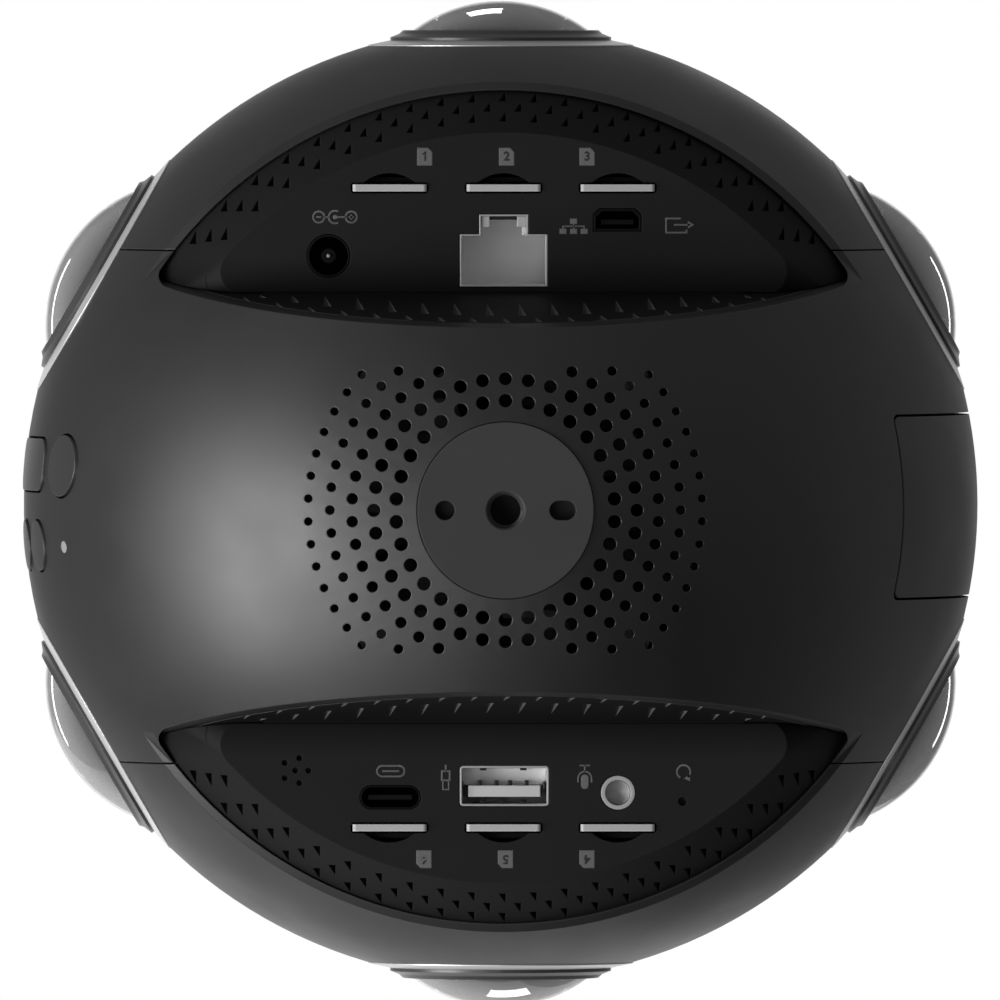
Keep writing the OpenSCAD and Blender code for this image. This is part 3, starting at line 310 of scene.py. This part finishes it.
# Battery bay, battery and contacts. The bay is a grey moulded tray screwed to the main board, the pack
# is a smooth dark plastic brick, and four gilt spring pins feed it through the bay's end wall.
bay_plastic = sandy_finish("bay plastic", grey(0.075), grey(0.12), 0.5, 0.35 * MM, 0.015 * MM)
dress(bay_plastic, "battery_bay")
pack_plastic = sandy_finish("battery plastic", grey(0.022), grey(0.05), 0.42, 0.6 * MM, 0.02 * MM)
dress(pack_plastic, "battery_case")
gold = (0.86, 0.60, 0.24, 1.0)
rubbed_gold = (0.9, 0.75, 0.5, 1.0)
gilt = sandy_finish("gilt contact", gold, rubbed_gold, 0.22, 0.1 * MM, 0.004 * MM, metallic=1.0)
dress(gilt, "battery_contacts")

# Fan: a housing and a rotor below the heat sink, both moulded in black glass-filled plastic. Four zinc
# screws hold the housing.
fan_plastic = sandy_finish("fan plastic", grey(0.012), grey(0.03), 0.4, 0.25 * MM, 0.01 * MM)
dress(fan_plastic, "fan_housing", "fan_rotor")
screw_metal = sandy_finish("zinc screw", grey(0.55), grey(0.75), 0.3, 0.1 * MM, 0.005 * MM, metallic=1.0)
dress(screw_metal, "fan_screws")

# Sockets. The network, wide data and audio sockets are folded from bright tin-plated sheet. The power,
# video and small data sockets and the card slots are black moulded plastic. All sit on the port boards.
panel_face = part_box("front_port_panel")[0].z
# Painted light: a mask that grows with depth into the sockets, used to paint their insides paler where they
# lie in shade.
socket_painted_light, given, result = new_effect("socket painted light", {"Reach": 2.0 * MM}, ["Mask"])
height = add(socket_painted_light, "SeparateXYZ", {0: add(socket_painted_light, "TexCoord").outputs["Object"]}).outputs["Z"]
LIP = 0.1 * MM
depth = math_node(socket_painted_light, "SUBTRACT", height, panel_face + LIP)
share = math_node(socket_painted_light, "DIVIDE", depth, given.outputs["Reach"], clamp=True)
socket_painted_light.links.new(share, result.inputs["Mask"])


def shade_over(finish, effect, second):
    """Lays another colour over a finish where a shared effect's mask says so."""
    tree = finish.node_tree
    base = tree.nodes["Principled BSDF"].inputs["Base Color"]
    mask = add_effect(tree, effect).outputs["Mask"]
    tree.links.new(mix_colour(tree, mask, base.links[0].from_socket, second), base)


# The tin plate is darker grey at its lip and painted paler deeper in, as painted light inside the sockets.
tin_plate = sandy_finish("tin plate", grey(0.3), grey(0.4), 0.42, 0.6 * MM, 0.006 * MM, metallic=0.1)
shade_over(tin_plate, socket_painted_light, grey(0.86))
dress(tin_plate, "lan_jack", "usb_a_port", "audio_jack")
socket_black = sandy_finish("socket black", grey(0.008), grey(0.02), 0.4, 0.2 * MM, 0.006 * MM, gloss=0.3)
dress(socket_black, "microphone")
slot_black = sandy_finish("slot black", grey(0.005), grey(0.01), 0.5, 0.2 * MM, 0.006 * MM, gloss=0.05)
dress(slot_black, "dc_jack", "hdmi_port", "usb_c_port", "front_card_sockets", "rear_card_sockets")

# Small parts of the sockets: the latch notch and its folded tabs in the network socket, the insulator,
# contacts and springs of the wide data socket, the audio socket's dust shutter and the power socket's
# pin tip. They are tin plate, grey or black plastic, and all are pressed into their shells.


def blocks(name, boxes, finish):
    """Small blocks on the panels: each is (x0, x1, y0, y1, depth of its front, depth of its back) in mm."""
    mesh = bpy.data.meshes.new(name)
    shape = bmesh.new()
    for x0, x1, y0, y1, front, back in boxes:
        low = Vector((x0 * MM, y0 * MM, panel_face + front * MM))
        high = Vector((x1 * MM, y1 * MM, panel_face + back * MM))
        size = Matrix.Diagonal((*(high - low), 1.0))
        bmesh.ops.create_cube(shape, size=1.0, matrix=Matrix.Translation((low + high) / 2) @ size)
    shape.to_mesh(mesh)
    shape.free()
    mesh.materials.append(finish)
    piece = bpy.data.objects.new(name, mesh)
    bpy.context.scene.collection.objects.link(piece)
    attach(piece, "housing")


blocks("network_latch_notch", [(-2.0, 1.9, -41.3, -40.8, 0.5, 8.0)], socket_black)
latch_tabs = [
    (-3.2, -2.0, -41.3, -39.75, 0.3, 8.0),
    (1.9, 3.2, -41.3, -39.8, 0.3, 8.0),
    (2.6, 3.2, -39.8, -38.6, 0.9, 8.0),
]
blocks("network_latch_tabs", latch_tabs, tin_plate)
contact_x = (-3.37, -1.0, 0.92, 3.3)
CONTACT_HALF = 0.28
contacts = [(x - CONTACT_HALF, x + CONTACT_HALF, 38.65, 39.35, 0.9, 4.4) for x in contact_x]
blocks("data_contacts", contacts, socket_black)
blocks("data_insulator", [(-5.85, 6.05, 36.95, 39.3, 4.5, 5.5)], tin_plate)
SPRING_HALF = 0.45
springs = [(x - SPRING_HALF, x + SPRING_HALF, 36.9, 37.2, 0.4, 4.0) for x in (-2.9, 2.8)]
springs += [(x - SPRING_HALF, x + SPRING_HALF, 41.45, 41.75, 0.4, 4.0) for x in (-2.85, 0.0, 2.85)]
springs += [(-5.95, -5.7, 38.8, 39.85, 0.4, 4.0), (5.6, 5.95, 38.8, 39.85, 0.4, 4.0)]
blocks("data_springs", springs, socket_black)
small_turned = {
    "audio_shutter": ("audio_jack", [(0.01, 1.9), (1.1, 1.7), (1.75, 1.1), (1.75, 2.4), (0.01, 2.4)]),
    "power_pin_tip": ("dc_jack", [(0.01, 0.55), (0.18, 0.6), (0.3, 0.95), (0.3, 1.0), (0.01, 1.0)]),
}
shutter_grey = sandy_finish("shutter grey", grey(0.24), grey(0.3), 0.5, 0.3 * MM, 0.004 * MM)
for name, (socket_name, outline) in small_turned.items():
    low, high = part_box(socket_name)
    place = Matrix.Translation(((low.x + high.x) / 2, (low.y + high.y) / 2, panel_face))
    piece = lathe(name, [(reach * MM, height * MM) for reach, height in outline], place, steps=48)
    piece.data.materials.append(shutter_grey)
    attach(piece, "housing")

# Memory cards: six small pale cards pushed in until only their ends stand out of the panel. The ends
# are cut plastic with a matt, slightly fibrous edge.
card_plastic = sandy_finish("card plastic", grey(0.34), grey(0.8), 0.45, 0.15 * MM, 0.01 * MM)
dress(card_plastic, *(f"memory_card_{number}" for number in range(1, 7)))

# Port panels, vent rings and vent walls: black moulded nylon with a fine spark-eroded texture. The
# notches let air out past the boards, and a foam seal closes the joint along each panel's straight side.
recess_black = sandy_finish("recess black", grey(0.0105), grey(0.02), 0.62, 0.22 * MM, 0.012 * MM, gloss=0.1)
# Painted shade: the panels and vent rings are painted near-black within a few millimetres of each straight
# wall, where shade falls.
painted_wall_shade, given, result = new_effect("painted wall shade", {"Wall": 30.4 * MM, "Reach": 5.0 * MM}, ["Mask"])
across = add(painted_wall_shade, "SeparateXYZ", {0: add(painted_wall_shade, "TexCoord").outputs["Object"]}).outputs["Y"]
away = math_node(painted_wall_shade, "SUBTRACT", math_node(painted_wall_shade, "ABSOLUTE", across), given.outputs["Wall"])
share = math_node(painted_wall_shade, "DIVIDE", away, given.outputs["Reach"])
near = math_node(painted_wall_shade, "SUBTRACT", 1.0, share, clamp=True)
painted_wall_shade.links.new(near, result.inputs["Mask"])
shade_over(recess_black, painted_wall_shade, grey(0.003))
dress(recess_black, "front_port_panel", "rear_port_panel", "front_vent_ring", "rear_vent_ring")
dress(recess_black, "front_top_vent", "rear_top_vent")
# The vent walls' worn colour is edge wear and also a painted highlight along the notch rims.
wall_black = sandy_finish("wall black", grey(0.0065), grey(0.06), 0.65, 0.22 * MM, 0.012 * MM, gloss=0.15)
# Painted highlight: faces of the notches that turn sideways are painted paler grey, as if they catch the
# light.
notch_painted_highlight, given, result = new_effect("notch painted highlight", {"Least": 0.2}, ["Mask"])
facing = add(notch_painted_highlight, "NewGeometry").outputs["True Normal"]
sideways = math_node(notch_painted_highlight, "ABSOLUTE", add(notch_painted_highlight, "SeparateXYZ", {0: facing}).outputs["X"])
turned_away = math_node(notch_painted_highlight, "GREATER_THAN", sideways, given.outputs["Least"])
notch_painted_highlight.links.new(turned_away, result.inputs["Mask"])
shade_over(wall_black, notch_painted_highlight, grey(0.09))
dress(wall_black, "vent_walls")
seals = [(-34.0, 34.0, -30.5, -29.9, 0.02, 1.0), (-34.0, 34.0, 29.9, 30.5, 0.02, 1.0)]
blocks("panel_seals", seals, recess_black)

# Print on the panels: a card-shaped tag with its number beside each card slot, and a small sign beside
# each socket. The tags and signs are grey ink and the numbers black ink, all pad-printed on the textured
# nylon.
INK = 0.03 * MM
ink_grey = sandy_finish("grey ink", grey(0.088), grey(0.1), 0.55, 0.3 * MM, 0.004 * MM)
ink_black = sandy_finish("black ink", grey(0.012), grey(0.015), 0.5, 0.3 * MM, 0.004 * MM)
front_way = Matrix.Diagonal((1.0, -1.0, -1.0, 1.0))
rear_way = Matrix.Diagonal((-1.0, 1.0, -1.0, 1.0))


def printed_place(x, y, layer=0):
    """Place on a panel, with X and Y along the print as it is read and Z out of the panel."""
    way = front_way if y < 0 else rear_way
    return Matrix.Translation((x * MM, y * MM, panel_face - layer * INK)) @ way


SHARPEST = 0.4


def stroke(points, width, closed=False):
    """Four-sided pieces that follow a line of points, mitred where they meet."""
    path = [Vector(point) for point in points]
    last = len(path) - 1
    sides = []
    for index, point in enumerate(path):
        before = path[index - 1] if closed or index > 0 else None
        after = path[(index + 1) % len(path)] if closed or index < last else None
        into = (point - before).normalized() if before else (after - point).normalized()
        out = (after - point).normalized() if after else into
        middle = (into + out).normalized()
        across = Vector((-middle.y, middle.x)) * (width / 2 / max(SHARPEST, middle.dot(out)))
        sides.append((point + across, point - across))
    following = sides[1:] + sides[:1]
    pieces = [(*here, *reversed(after)) for here, after in zip(sides, following)]
    return pieces if closed else pieces[:last]


def arc(x, y, radius, start, stop, steps=24):
    """Points along an arc, with its angles in degrees."""
    turns = [math.radians(start + (stop - start) * step_number / steps) for step_number in range(steps + 1)]
    return [(x + radius * math.cos(turn), y + radius * math.sin(turn)) for turn in turns]


def link_print(name, mesh, place, ink):
    """Lays a printed mesh on its panel."""
    mesh.transform(place)
    mesh.materials.clear()
    mesh.materials.append(ink)
    piece = bpy.data.objects.new(name, mesh)
    bpy.context.scene.collection.objects.link(piece)
    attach(piece, "housing")


def print_sign(name, shapes, place, ink=ink_grey):
    """Prints flat shapes, each a loop of points in mm, as a thin film of ink."""
    mesh = bpy.data.meshes.new(name)
    corners = []
    faces = []
    for loop in shapes:
        count = len(loop)
        first = len(corners)
        corners += [(x * MM, y * MM, 0.0) for x, y in loop] + [(x * MM, y * MM, INK) for x, y in loop]
        faces += [range(first + count, first + 2 * count), range(first + count - 1, first - 1, -1)]
        for index in range(count):
            after = (index + 1) % count
            faces.append((first + index, first + after, first + count + after, first + count + index))
    mesh.from_pydata(corners, [], [tuple(face) for face in faces])
    link_print(name, mesh, place, ink)


ONE_WIDTH = 0.22
TYPE_SIZE = 1.4
TYPE_WEIGHT = 0.05 * MM


def print_number(name, number, height, place):
    """Prints a number with the plain built-in type, or strokes for the one, which needs its flag."""
    if number == 1:
        print_sign(name, stroke([(-0.3, 0.3), (0.05, 0.58), (0.05, -0.62)], ONE_WIDTH), place, ink_black)
        return
    letters = bpy.data.curves.new(name, "FONT")
    letters.body = str(number)
    letters.size = height * TYPE_SIZE * MM
    letters.align_x = "CENTER"
    letters.align_y = "CENTER"
    letters.extrude = INK / 2
    letters.offset = TYPE_WEIGHT
    draft = bpy.data.objects.new(name, letters)
    mesh = bpy.data.meshes.new_from_object(draft)
    bpy.data.objects.remove(draft)
    link_print(name, mesh, place, ink_black)


TAG_X = 1.08
TAG_Y = 1.27
TAG_CLIP = 0.62
NUMBER_HEIGHT = 1.25
NUMBER_LAYER = 1.5
tag_shape = [
    (-TAG_X, -TAG_Y),
    (TAG_X, -TAG_Y),
    (TAG_X, TAG_Y - TAG_CLIP),
    (TAG_X - TAG_CLIP, TAG_Y),
    (-TAG_X, TAG_Y),
]
tag_places = {1: (-11.2, -49.75), 2: (0.4, -49.75), 3: (11.8, -49.75)}
tag_places |= {6: (-11.3, 49.78), 5: (0.25, 49.78), 4: (11.8, 49.78)}
for number, (x, y) in tag_places.items():
    print_sign(f"card_tag_{number}", [tag_shape], printed_place(x, y))
    print_number(f"card_number_{number}", number, NUMBER_HEIGHT, printed_place(x, y, NUMBER_LAYER))

LINE = 0.26
FINE_LINE = 0.2
VOICE_LINE = 0.22
polarity = stroke(arc(-2.3, 0, 0.8, 0, 360), LINE, True) + stroke([(-2.65, 0), (-1.95, 0)], LINE)
polarity += stroke(arc(2.3, 0, 0.8, 0, 360), LINE, True) + stroke([(1.95, 0), (2.65, 0)], LINE)
polarity += stroke([(2.3, -0.35), (2.3, 0.35)], LINE) + stroke([(-1.5, 0), (-0.95, 0)], LINE)
polarity += stroke(arc(0, 0, 0.9, 60, 300), LINE) + [arc(0, 0, 0.32, 0, 345, 23)]
polarity += stroke([(0.3, 0), (1.5, 0)], LINE)
print_sign("power_sign", polarity, printed_place(-23.9, -41.2))
tree_sign = [[(-0.5, 0.3), (0.5, 0.3), (0.5, 1.1), (-0.5, 1.1)]]
for x in (-1.5, 0.0, 1.5):
    tree_sign.append([(x - 0.5, -1.1), (x + 0.5, -1.1), (x + 0.5, -0.35), (x - 0.5, -0.35)])
tree_sign += stroke([(-1.5, -0.35), (-1.5, 0.0), (1.5, 0.0), (1.5, -0.35)], FINE_LINE)
tree_sign += stroke([(0, -0.35), (0, 0.3)], FINE_LINE)
print_sign("network_sign", tree_sign, printed_place(9.9, -39.9))
screen_sign = stroke([(0.4, 1.0), (-1.7, 1.0), (-1.7, -1.0), (1.2, -1.0), (1.2, -0.55)], LINE)
screen_sign += stroke([(-0.6, 0.1), (1.7, 0.1)], LINE) + [[(1.4, 0.65), (2.3, 0.1), (1.4, -0.45)]]
print_sign("video_sign", screen_sign, printed_place(24.7, -40.0))
oval_sign = stroke(arc(-1.2, 0, 0.75, 90, 270, 12) + arc(1.2, 0, 0.75, -90, 90, 12), LINE, True)
oval_sign += stroke([(-1.2, 0), (1.2, 0)], LINE)
print_sign("small_data_sign", oval_sign, printed_place(-16.0, 37.3))
plug_sign = stroke([(-0.55, 0.2), (-0.55, -1.1), (0.55, -1.1), (0.55, 0.2)], LINE, True)
plug_sign += stroke([(-0.4, 0.3), (-0.4, 1.5), (0.4, 1.5), (0.4, 0.3)], FINE_LINE)
plug_sign += stroke([(0, -1.1), (0, -2.0)], LINE)
print_sign("wide_data_sign", plug_sign, printed_place(-8.2, 38.4))
voice_sign = [arc(0, 0.9, 0.55, 0, 180, 12) + arc(0, -0.1, 0.55, 180, 360, 12)]
voice_sign += stroke([(-0.95, 0.5)] + arc(0, -0.1, 0.95, 180, 360, 16) + [(0.95, 0.5)], VOICE_LINE)
voice_sign += stroke([(0, -1.05), (0, -1.9)], VOICE_LINE) + stroke([(-0.75, -1.9), (0.75, -1.9)], VOICE_LINE)
print_sign("audio_sign", voice_sign, printed_place(11.5, 38.4))
restart_sign = stroke(arc(0, 0, 0.95, 130, 420, 30), LINE) + [[(-0.95, 1.35), (-0.05, 0.95), (-0.85, 0.3)]]
print_sign("reset_sign", restart_sign, printed_place(25.5, 37.4))

# Shells: two halves of the central band and two end caps, pressure-die-cast, bead-blasted and
# anodised charcoal, with the battery's cover in the same finish.
dark_cool = grey(0.009, -0.02)
charcoal = sandy_finish("charcoal shell", dark_cool, grey(0.03), 0.45, 0.16 * MM, 0.006 * MM, gloss=0.65)
dress(charcoal, "lower_shell", "upper_shell", "front_cap", "rear_cap", "battery_cover")

# Lens seats: satin aluminium rings pressed into the flats round the ball, bright because they are only
# blasted and not dyed.
seat_silver = turned_finish("seat silver", grey(0.66), 0.36, 0.12 * MM, 0.006 * MM, metallic=0.5)
dress(seat_silver, "lens_seats")

# Bezels: black anodised aluminium rings, turned with a stepped lip. Each is screwed down over the rim of
# a front glass and clamps it.
bezel_black = turned_finish("bezel black", grey(0.04), 0.34, 0.15 * MM, 0.008 * MM, metallic=0.0)
dress(bezel_black, "lens_bezels")

# Front glasses: thick domed menisci of smoked glass, polished and coated, with the faintest film of
# handling on the surface. Each sits in its bezel and is hollowed behind.
dome_glass, tree, shader = new_finish("dome glass")
skin = add_effect(tree, grain, Size=1.5 * MM)
# Painted light: the smoked glass is painted paler and clearer towards its grazing edges, as painted light at
# the dome's rim.
rim_painted_light = add(tree, "LayerWeight", {"Blend": 0.5}).outputs["Facing"]
rim_painted_light = add(tree, "MapRange", {"Value": rim_painted_light, "From Min": 0.3, "From Max": 0.65}).outputs["Result"]
tree.links.new(mix_colour(tree, rim_painted_light, grey(0.07), grey(0.55)), shader.inputs["Base Color"])
shader.inputs["Transmission Weight"].default_value = 0.65
shader.inputs["IOR"].default_value = 1.52
spread = {"Value": skin.outputs["Patches"], "To Min": 0.0, "To Max": 0.01}
tree.links.new(add(tree, "MapRange", spread).outputs["Result"], shader.inputs["Roughness"])
dress(dome_glass, *(f"lens_glass_{number}" for number in range(1, LENS_COUNT + 1)))

# Tripod plate: a machined disc, blasted to an even dark grey, that takes the tripod's screw. Its middle
# hole is painted paler inside as painted light against its shade, and a ridge winds up the hole's wall as
# the thread.
BORE_START = 1.2 * MM
plate_grey = sandy_finish("plate grey", grey(0.030), grey(0.04), 0.6, 0.14 * MM, 0.008 * MM, gloss=0.3)
# Painted light: inside the middle hole, above its mouth, the grey is painted paler than the plate.
bore_painted_light, given, result = new_effect("bore painted light", {"Radius": 2.6 * MM}, ["Mask"])
axes = add(bore_painted_light, "SeparateXYZ", {0: add(bore_painted_light, "TexCoord").outputs["Object"]}).outputs
reach = math_node(bore_painted_light, "SQRT", math_node(
    bore_painted_light, "ADD", math_node(bore_painted_light, "POWER", axes["X"], 2.0), math_node(bore_painted_light, "POWER", axes["Y"], 2.0)
))
inside = math_node(bore_painted_light, "LESS_THAN", reach, given.outputs["Radius"])
inside = math_node(bore_painted_light, "MULTIPLY", inside, math_node(bore_painted_light, "GREATER_THAN", axes["Z"], BORE_START))
bore_painted_light.links.new(inside, result.inputs["Mask"])
shade_over(plate_grey, bore_painted_light, grey(0.07))
dress(plate_grey, "tripod_plate")
THREAD_PITCH = 1.27
THREAD_R = 2.49
THREAD_HEIGHT = 0.35
THREAD_HALF = 0.42
THREAD_START = 2.0
THREAD_TURNS = 5
STEPS_PER_TURN = 48
thread_section = [(THREAD_R, -THREAD_HALF), (THREAD_R - THREAD_HEIGHT, 0.0), (THREAD_R, THREAD_HALF)]
corners = []
faces = []
for index in range(THREAD_TURNS * STEPS_PER_TURN + 1):
    angle = 2 * math.pi * index / STEPS_PER_TURN
    rise = THREAD_START + THREAD_PITCH * index / STEPS_PER_TURN
    for reach, up in thread_section:
        corners.append((reach * math.cos(angle) * MM, reach * math.sin(angle) * MM, (rise + up) * MM))
    if index:
        here = 3 * index
        faces += [(here - 3 + k, here + k, here + (k + 1) % 3, here - 3 + (k + 1) % 3) for k in range(3)]
faces += [(0, 1, 2), (len(corners) - 1, len(corners) - 2, len(corners) - 3)]
ridge = bpy.data.meshes.new("tripod_thread")
ridge.from_pydata(corners, [], faces)
ridge.materials.append(plate_grey)
thread = bpy.data.objects.new("tripod_thread", ridge)
bpy.context.scene.collection.objects.link(thread)
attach(thread, "housing")

# Buttons, reset plunger, indicator and display. The keys are moulded in the shell's colour, the light
# is a clear pipe, and the display sits behind a black glass let into the shell.
key_black = sandy_finish("key black", grey(0.020), grey(0.07), 0.36, 0.2 * MM, 0.006 * MM)
dress(key_black, "shutter_button", "power_button", "mode_button", "select_button", "reset_button")
light_pipe = sandy_finish("light pipe", grey(0.25), grey(0.3), 0.3, 0.3 * MM, 0.003 * MM)
dress(light_pipe, "indicator_light")
window_glass = sandy_finish("window glass", grey(0.006), grey(0.02), 0.08, 2.0 * MM, 0.001 * MM)
dress(window_glass, "display_window", "display_panel")

# Studio: white surroundings for the camera and clear glass, a darker room in the gloss, soft even fill
# for the rest, a broad key from the photograph's left and a lower one from its bottom edge.
world = bpy.data.worlds.new("studio")
bpy.context.scene.world = world
world.use_nodes = True
tree = world.node_tree
tree.nodes.clear()
UNDER_LEVEL = 0.02
HORIZON_LEVEL = 0.26
FILL_LEVEL = 0.22
ray = add(tree, "LightPath").outputs
seen = math_node(tree, "MAXIMUM", ray["Is Camera Ray"], math_node(
    tree, "MAXIMUM", ray["Is Glossy Ray"], ray["Is Transmission Ray"]
))
heading = add(tree, "SeparateXYZ", {0: add(tree, "TexCoord").outputs["Generated"]}).outputs
slant = math_node(tree, "SUBTRACT", heading["Z"], math_node(tree, "MULTIPLY", heading["Y"], 0.8))
ramp = {"Value": slant, "From Min": -1.0, "From Max": -0.1, "To Min": UNDER_LEVEL, "To Max": HORIZON_LEVEL}
horizon = add(tree, "MapRange", ramp).outputs["Result"]
ceiling = add(tree, "MapRange", {"Value": heading["Z"], "From Min": 0.9, "From Max": 0.97}).outputs["Result"]
clear_path = math_node(tree, "MAXIMUM", ray["Is Camera Ray"], ray["Is Transmission Ray"])
backdrop = math_node(tree, "MAXIMUM", math_node(tree, "MAXIMUM", horizon, ceiling), clear_path)
white = add(tree, "Background", {"Color": (1.0, 1.0, 1.0, 1.0), "Strength": backdrop})
fill = add(tree, "Background", {"Color": (1.0, 1.0, 1.0, 1.0), "Strength": FILL_LEVEL})
surround = add(tree, "MixShader", {0: seen, 1: fill.outputs[0], 2: white.outputs[0]})
tree.links.new(surround.outputs[0], add(tree, "OutputWorld").inputs["Surface"])


def soft_lamp(name, toward, distance, size, power, length=None):
    """A soft box, square or long in Y, that faces the ball's centre and that the camera doesn't see."""
    lamp = bpy.data.lights.new(name, "AREA")
    lamp.shape = "RECTANGLE"
    lamp.size = length or size
    lamp.size_y = size
    lamp.energy = power
    box = bpy.data.objects.new(name, lamp)
    direction = Vector(toward).normalized()
    box.location = ball_center + direction * distance
    box.rotation_mode = "QUATERNION"
    box.rotation_quaternion = direction.to_track_quat("Z", "Y")
    box.visible_camera = False
    bpy.context.scene.collection.objects.link(box)
    return box


soft_lamp("key", (-0.853, 0.166, -0.496), 0.9, 0.55, 10.0)
soft_lamp("key tail", (-0.405, 0.307, -0.862), 0.9, 0.6, 1.8)
soft_lamp("lower", (-0.2, 0.66, 0.72), 0.9, 0.9, 1.6)
top = soft_lamp("top", (0.0, 0.0, 1.0), 1.2, 1.0, 8.0)
top.visible_glossy = False
top.visible_transmission = False
cards = [soft_lamp("upper card", (-0.07, -0.72, 0.70), 0.9, 0.15, 0.85)]
cards.append(soft_lamp("left card", (-0.62, 0.0, 0.78), 0.9, 0.05, 0.7, 0.6))
cards.append(soft_lamp("right card", (0.62, 0.0, 0.78), 0.9, 0.05, 0.7, 0.6))
cards.append(soft_lamp("lower card", (0.05, 0.8, 0.6), 0.9, 0.2, 1.0))
cards.append(soft_lamp("glass fill", (0.0, 0.0, -1.0), 1.2, 0.8, 10.0))
glasses = bpy.data.collections.new("front glasses")
for number in range(1, LENS_COUNT + 1):
    glasses.objects.link(frame["nodes"][f"lens_glass_{number}"])
for card in cards:
    card.light_linking.receiver_collection = glasses

# Floor: a pale sheet under the tripod plate. It shows from above only, so that the photograph's view
# from underneath looks through it.
FLOOR_REACH = 6.0
sheet = bpy.data.meshes.new("floor")
side = FLOOR_REACH / 2
drop = -0.3 * MM
corners = [(-side, -side, drop), (side, -side, drop), (side, side, drop), (-side, side, drop)]
sheet.from_pydata(corners, [], [(0, 1, 2, 3)])
floor = bpy.data.objects.new("floor", sheet)
bpy.context.scene.collection.objects.link(floor)
paper, tree, shader = new_finish("paper floor")
shader.inputs["Base Color"].default_value = grey(0.8)
shader.inputs["Roughness"].default_value = 0.8
behind = add(tree, "NewGeometry").outputs["Backfacing"]
clear = add(tree, "BsdfTransparent").outputs[0]
one_sided = add(tree, "MixShader", {0: behind, 1: shader.outputs[0], 2: clear})
tree.links.new(one_sided.outputs[0], tree.nodes["Material Output"].inputs["Surface"])
sheet.materials.append(paper)
floor.visible_diffuse = False
floor.visible_glossy = False
floor.visible_shadow = False

# Camera: a long lens straight below the part, a little off its axis, with photograph right along +X and
# photograph down along +Y.
FRAME_WIDTH = 142.6 * MM
DISTANCE = 6.2
TILT = Vector((0.0103, 0.0136, 1.0)).normalized()
AIM_RIGHT = -0.7 / 1000 * FRAME_WIDTH
AIM_DOWN = -3.9 / 1000 * FRAME_WIDTH
optics = bpy.data.cameras.new("camera")
optics.sensor_width = 36.0
optics.lens = optics.sensor_width * DISTANCE / FRAME_WIDTH
optics.clip_end = 3 * DISTANCE
camera = bpy.data.objects.new("camera", optics)
right = (Vector((1, 0, 0)) - TILT * TILT.x).normalized()
down = TILT.cross(right)
axes = Matrix((right, -down, -TILT)).transposed().to_4x4()
aim = ball_center + right * AIM_RIGHT + down * AIM_DOWN
camera.matrix_world = Matrix.Translation(aim - TILT * DISTANCE) @ axes
bpy.context.scene.collection.objects.link(camera)
bpy.context.scene.camera = camera
bpy.context.scene.view_settings.view_transform = "Standard"
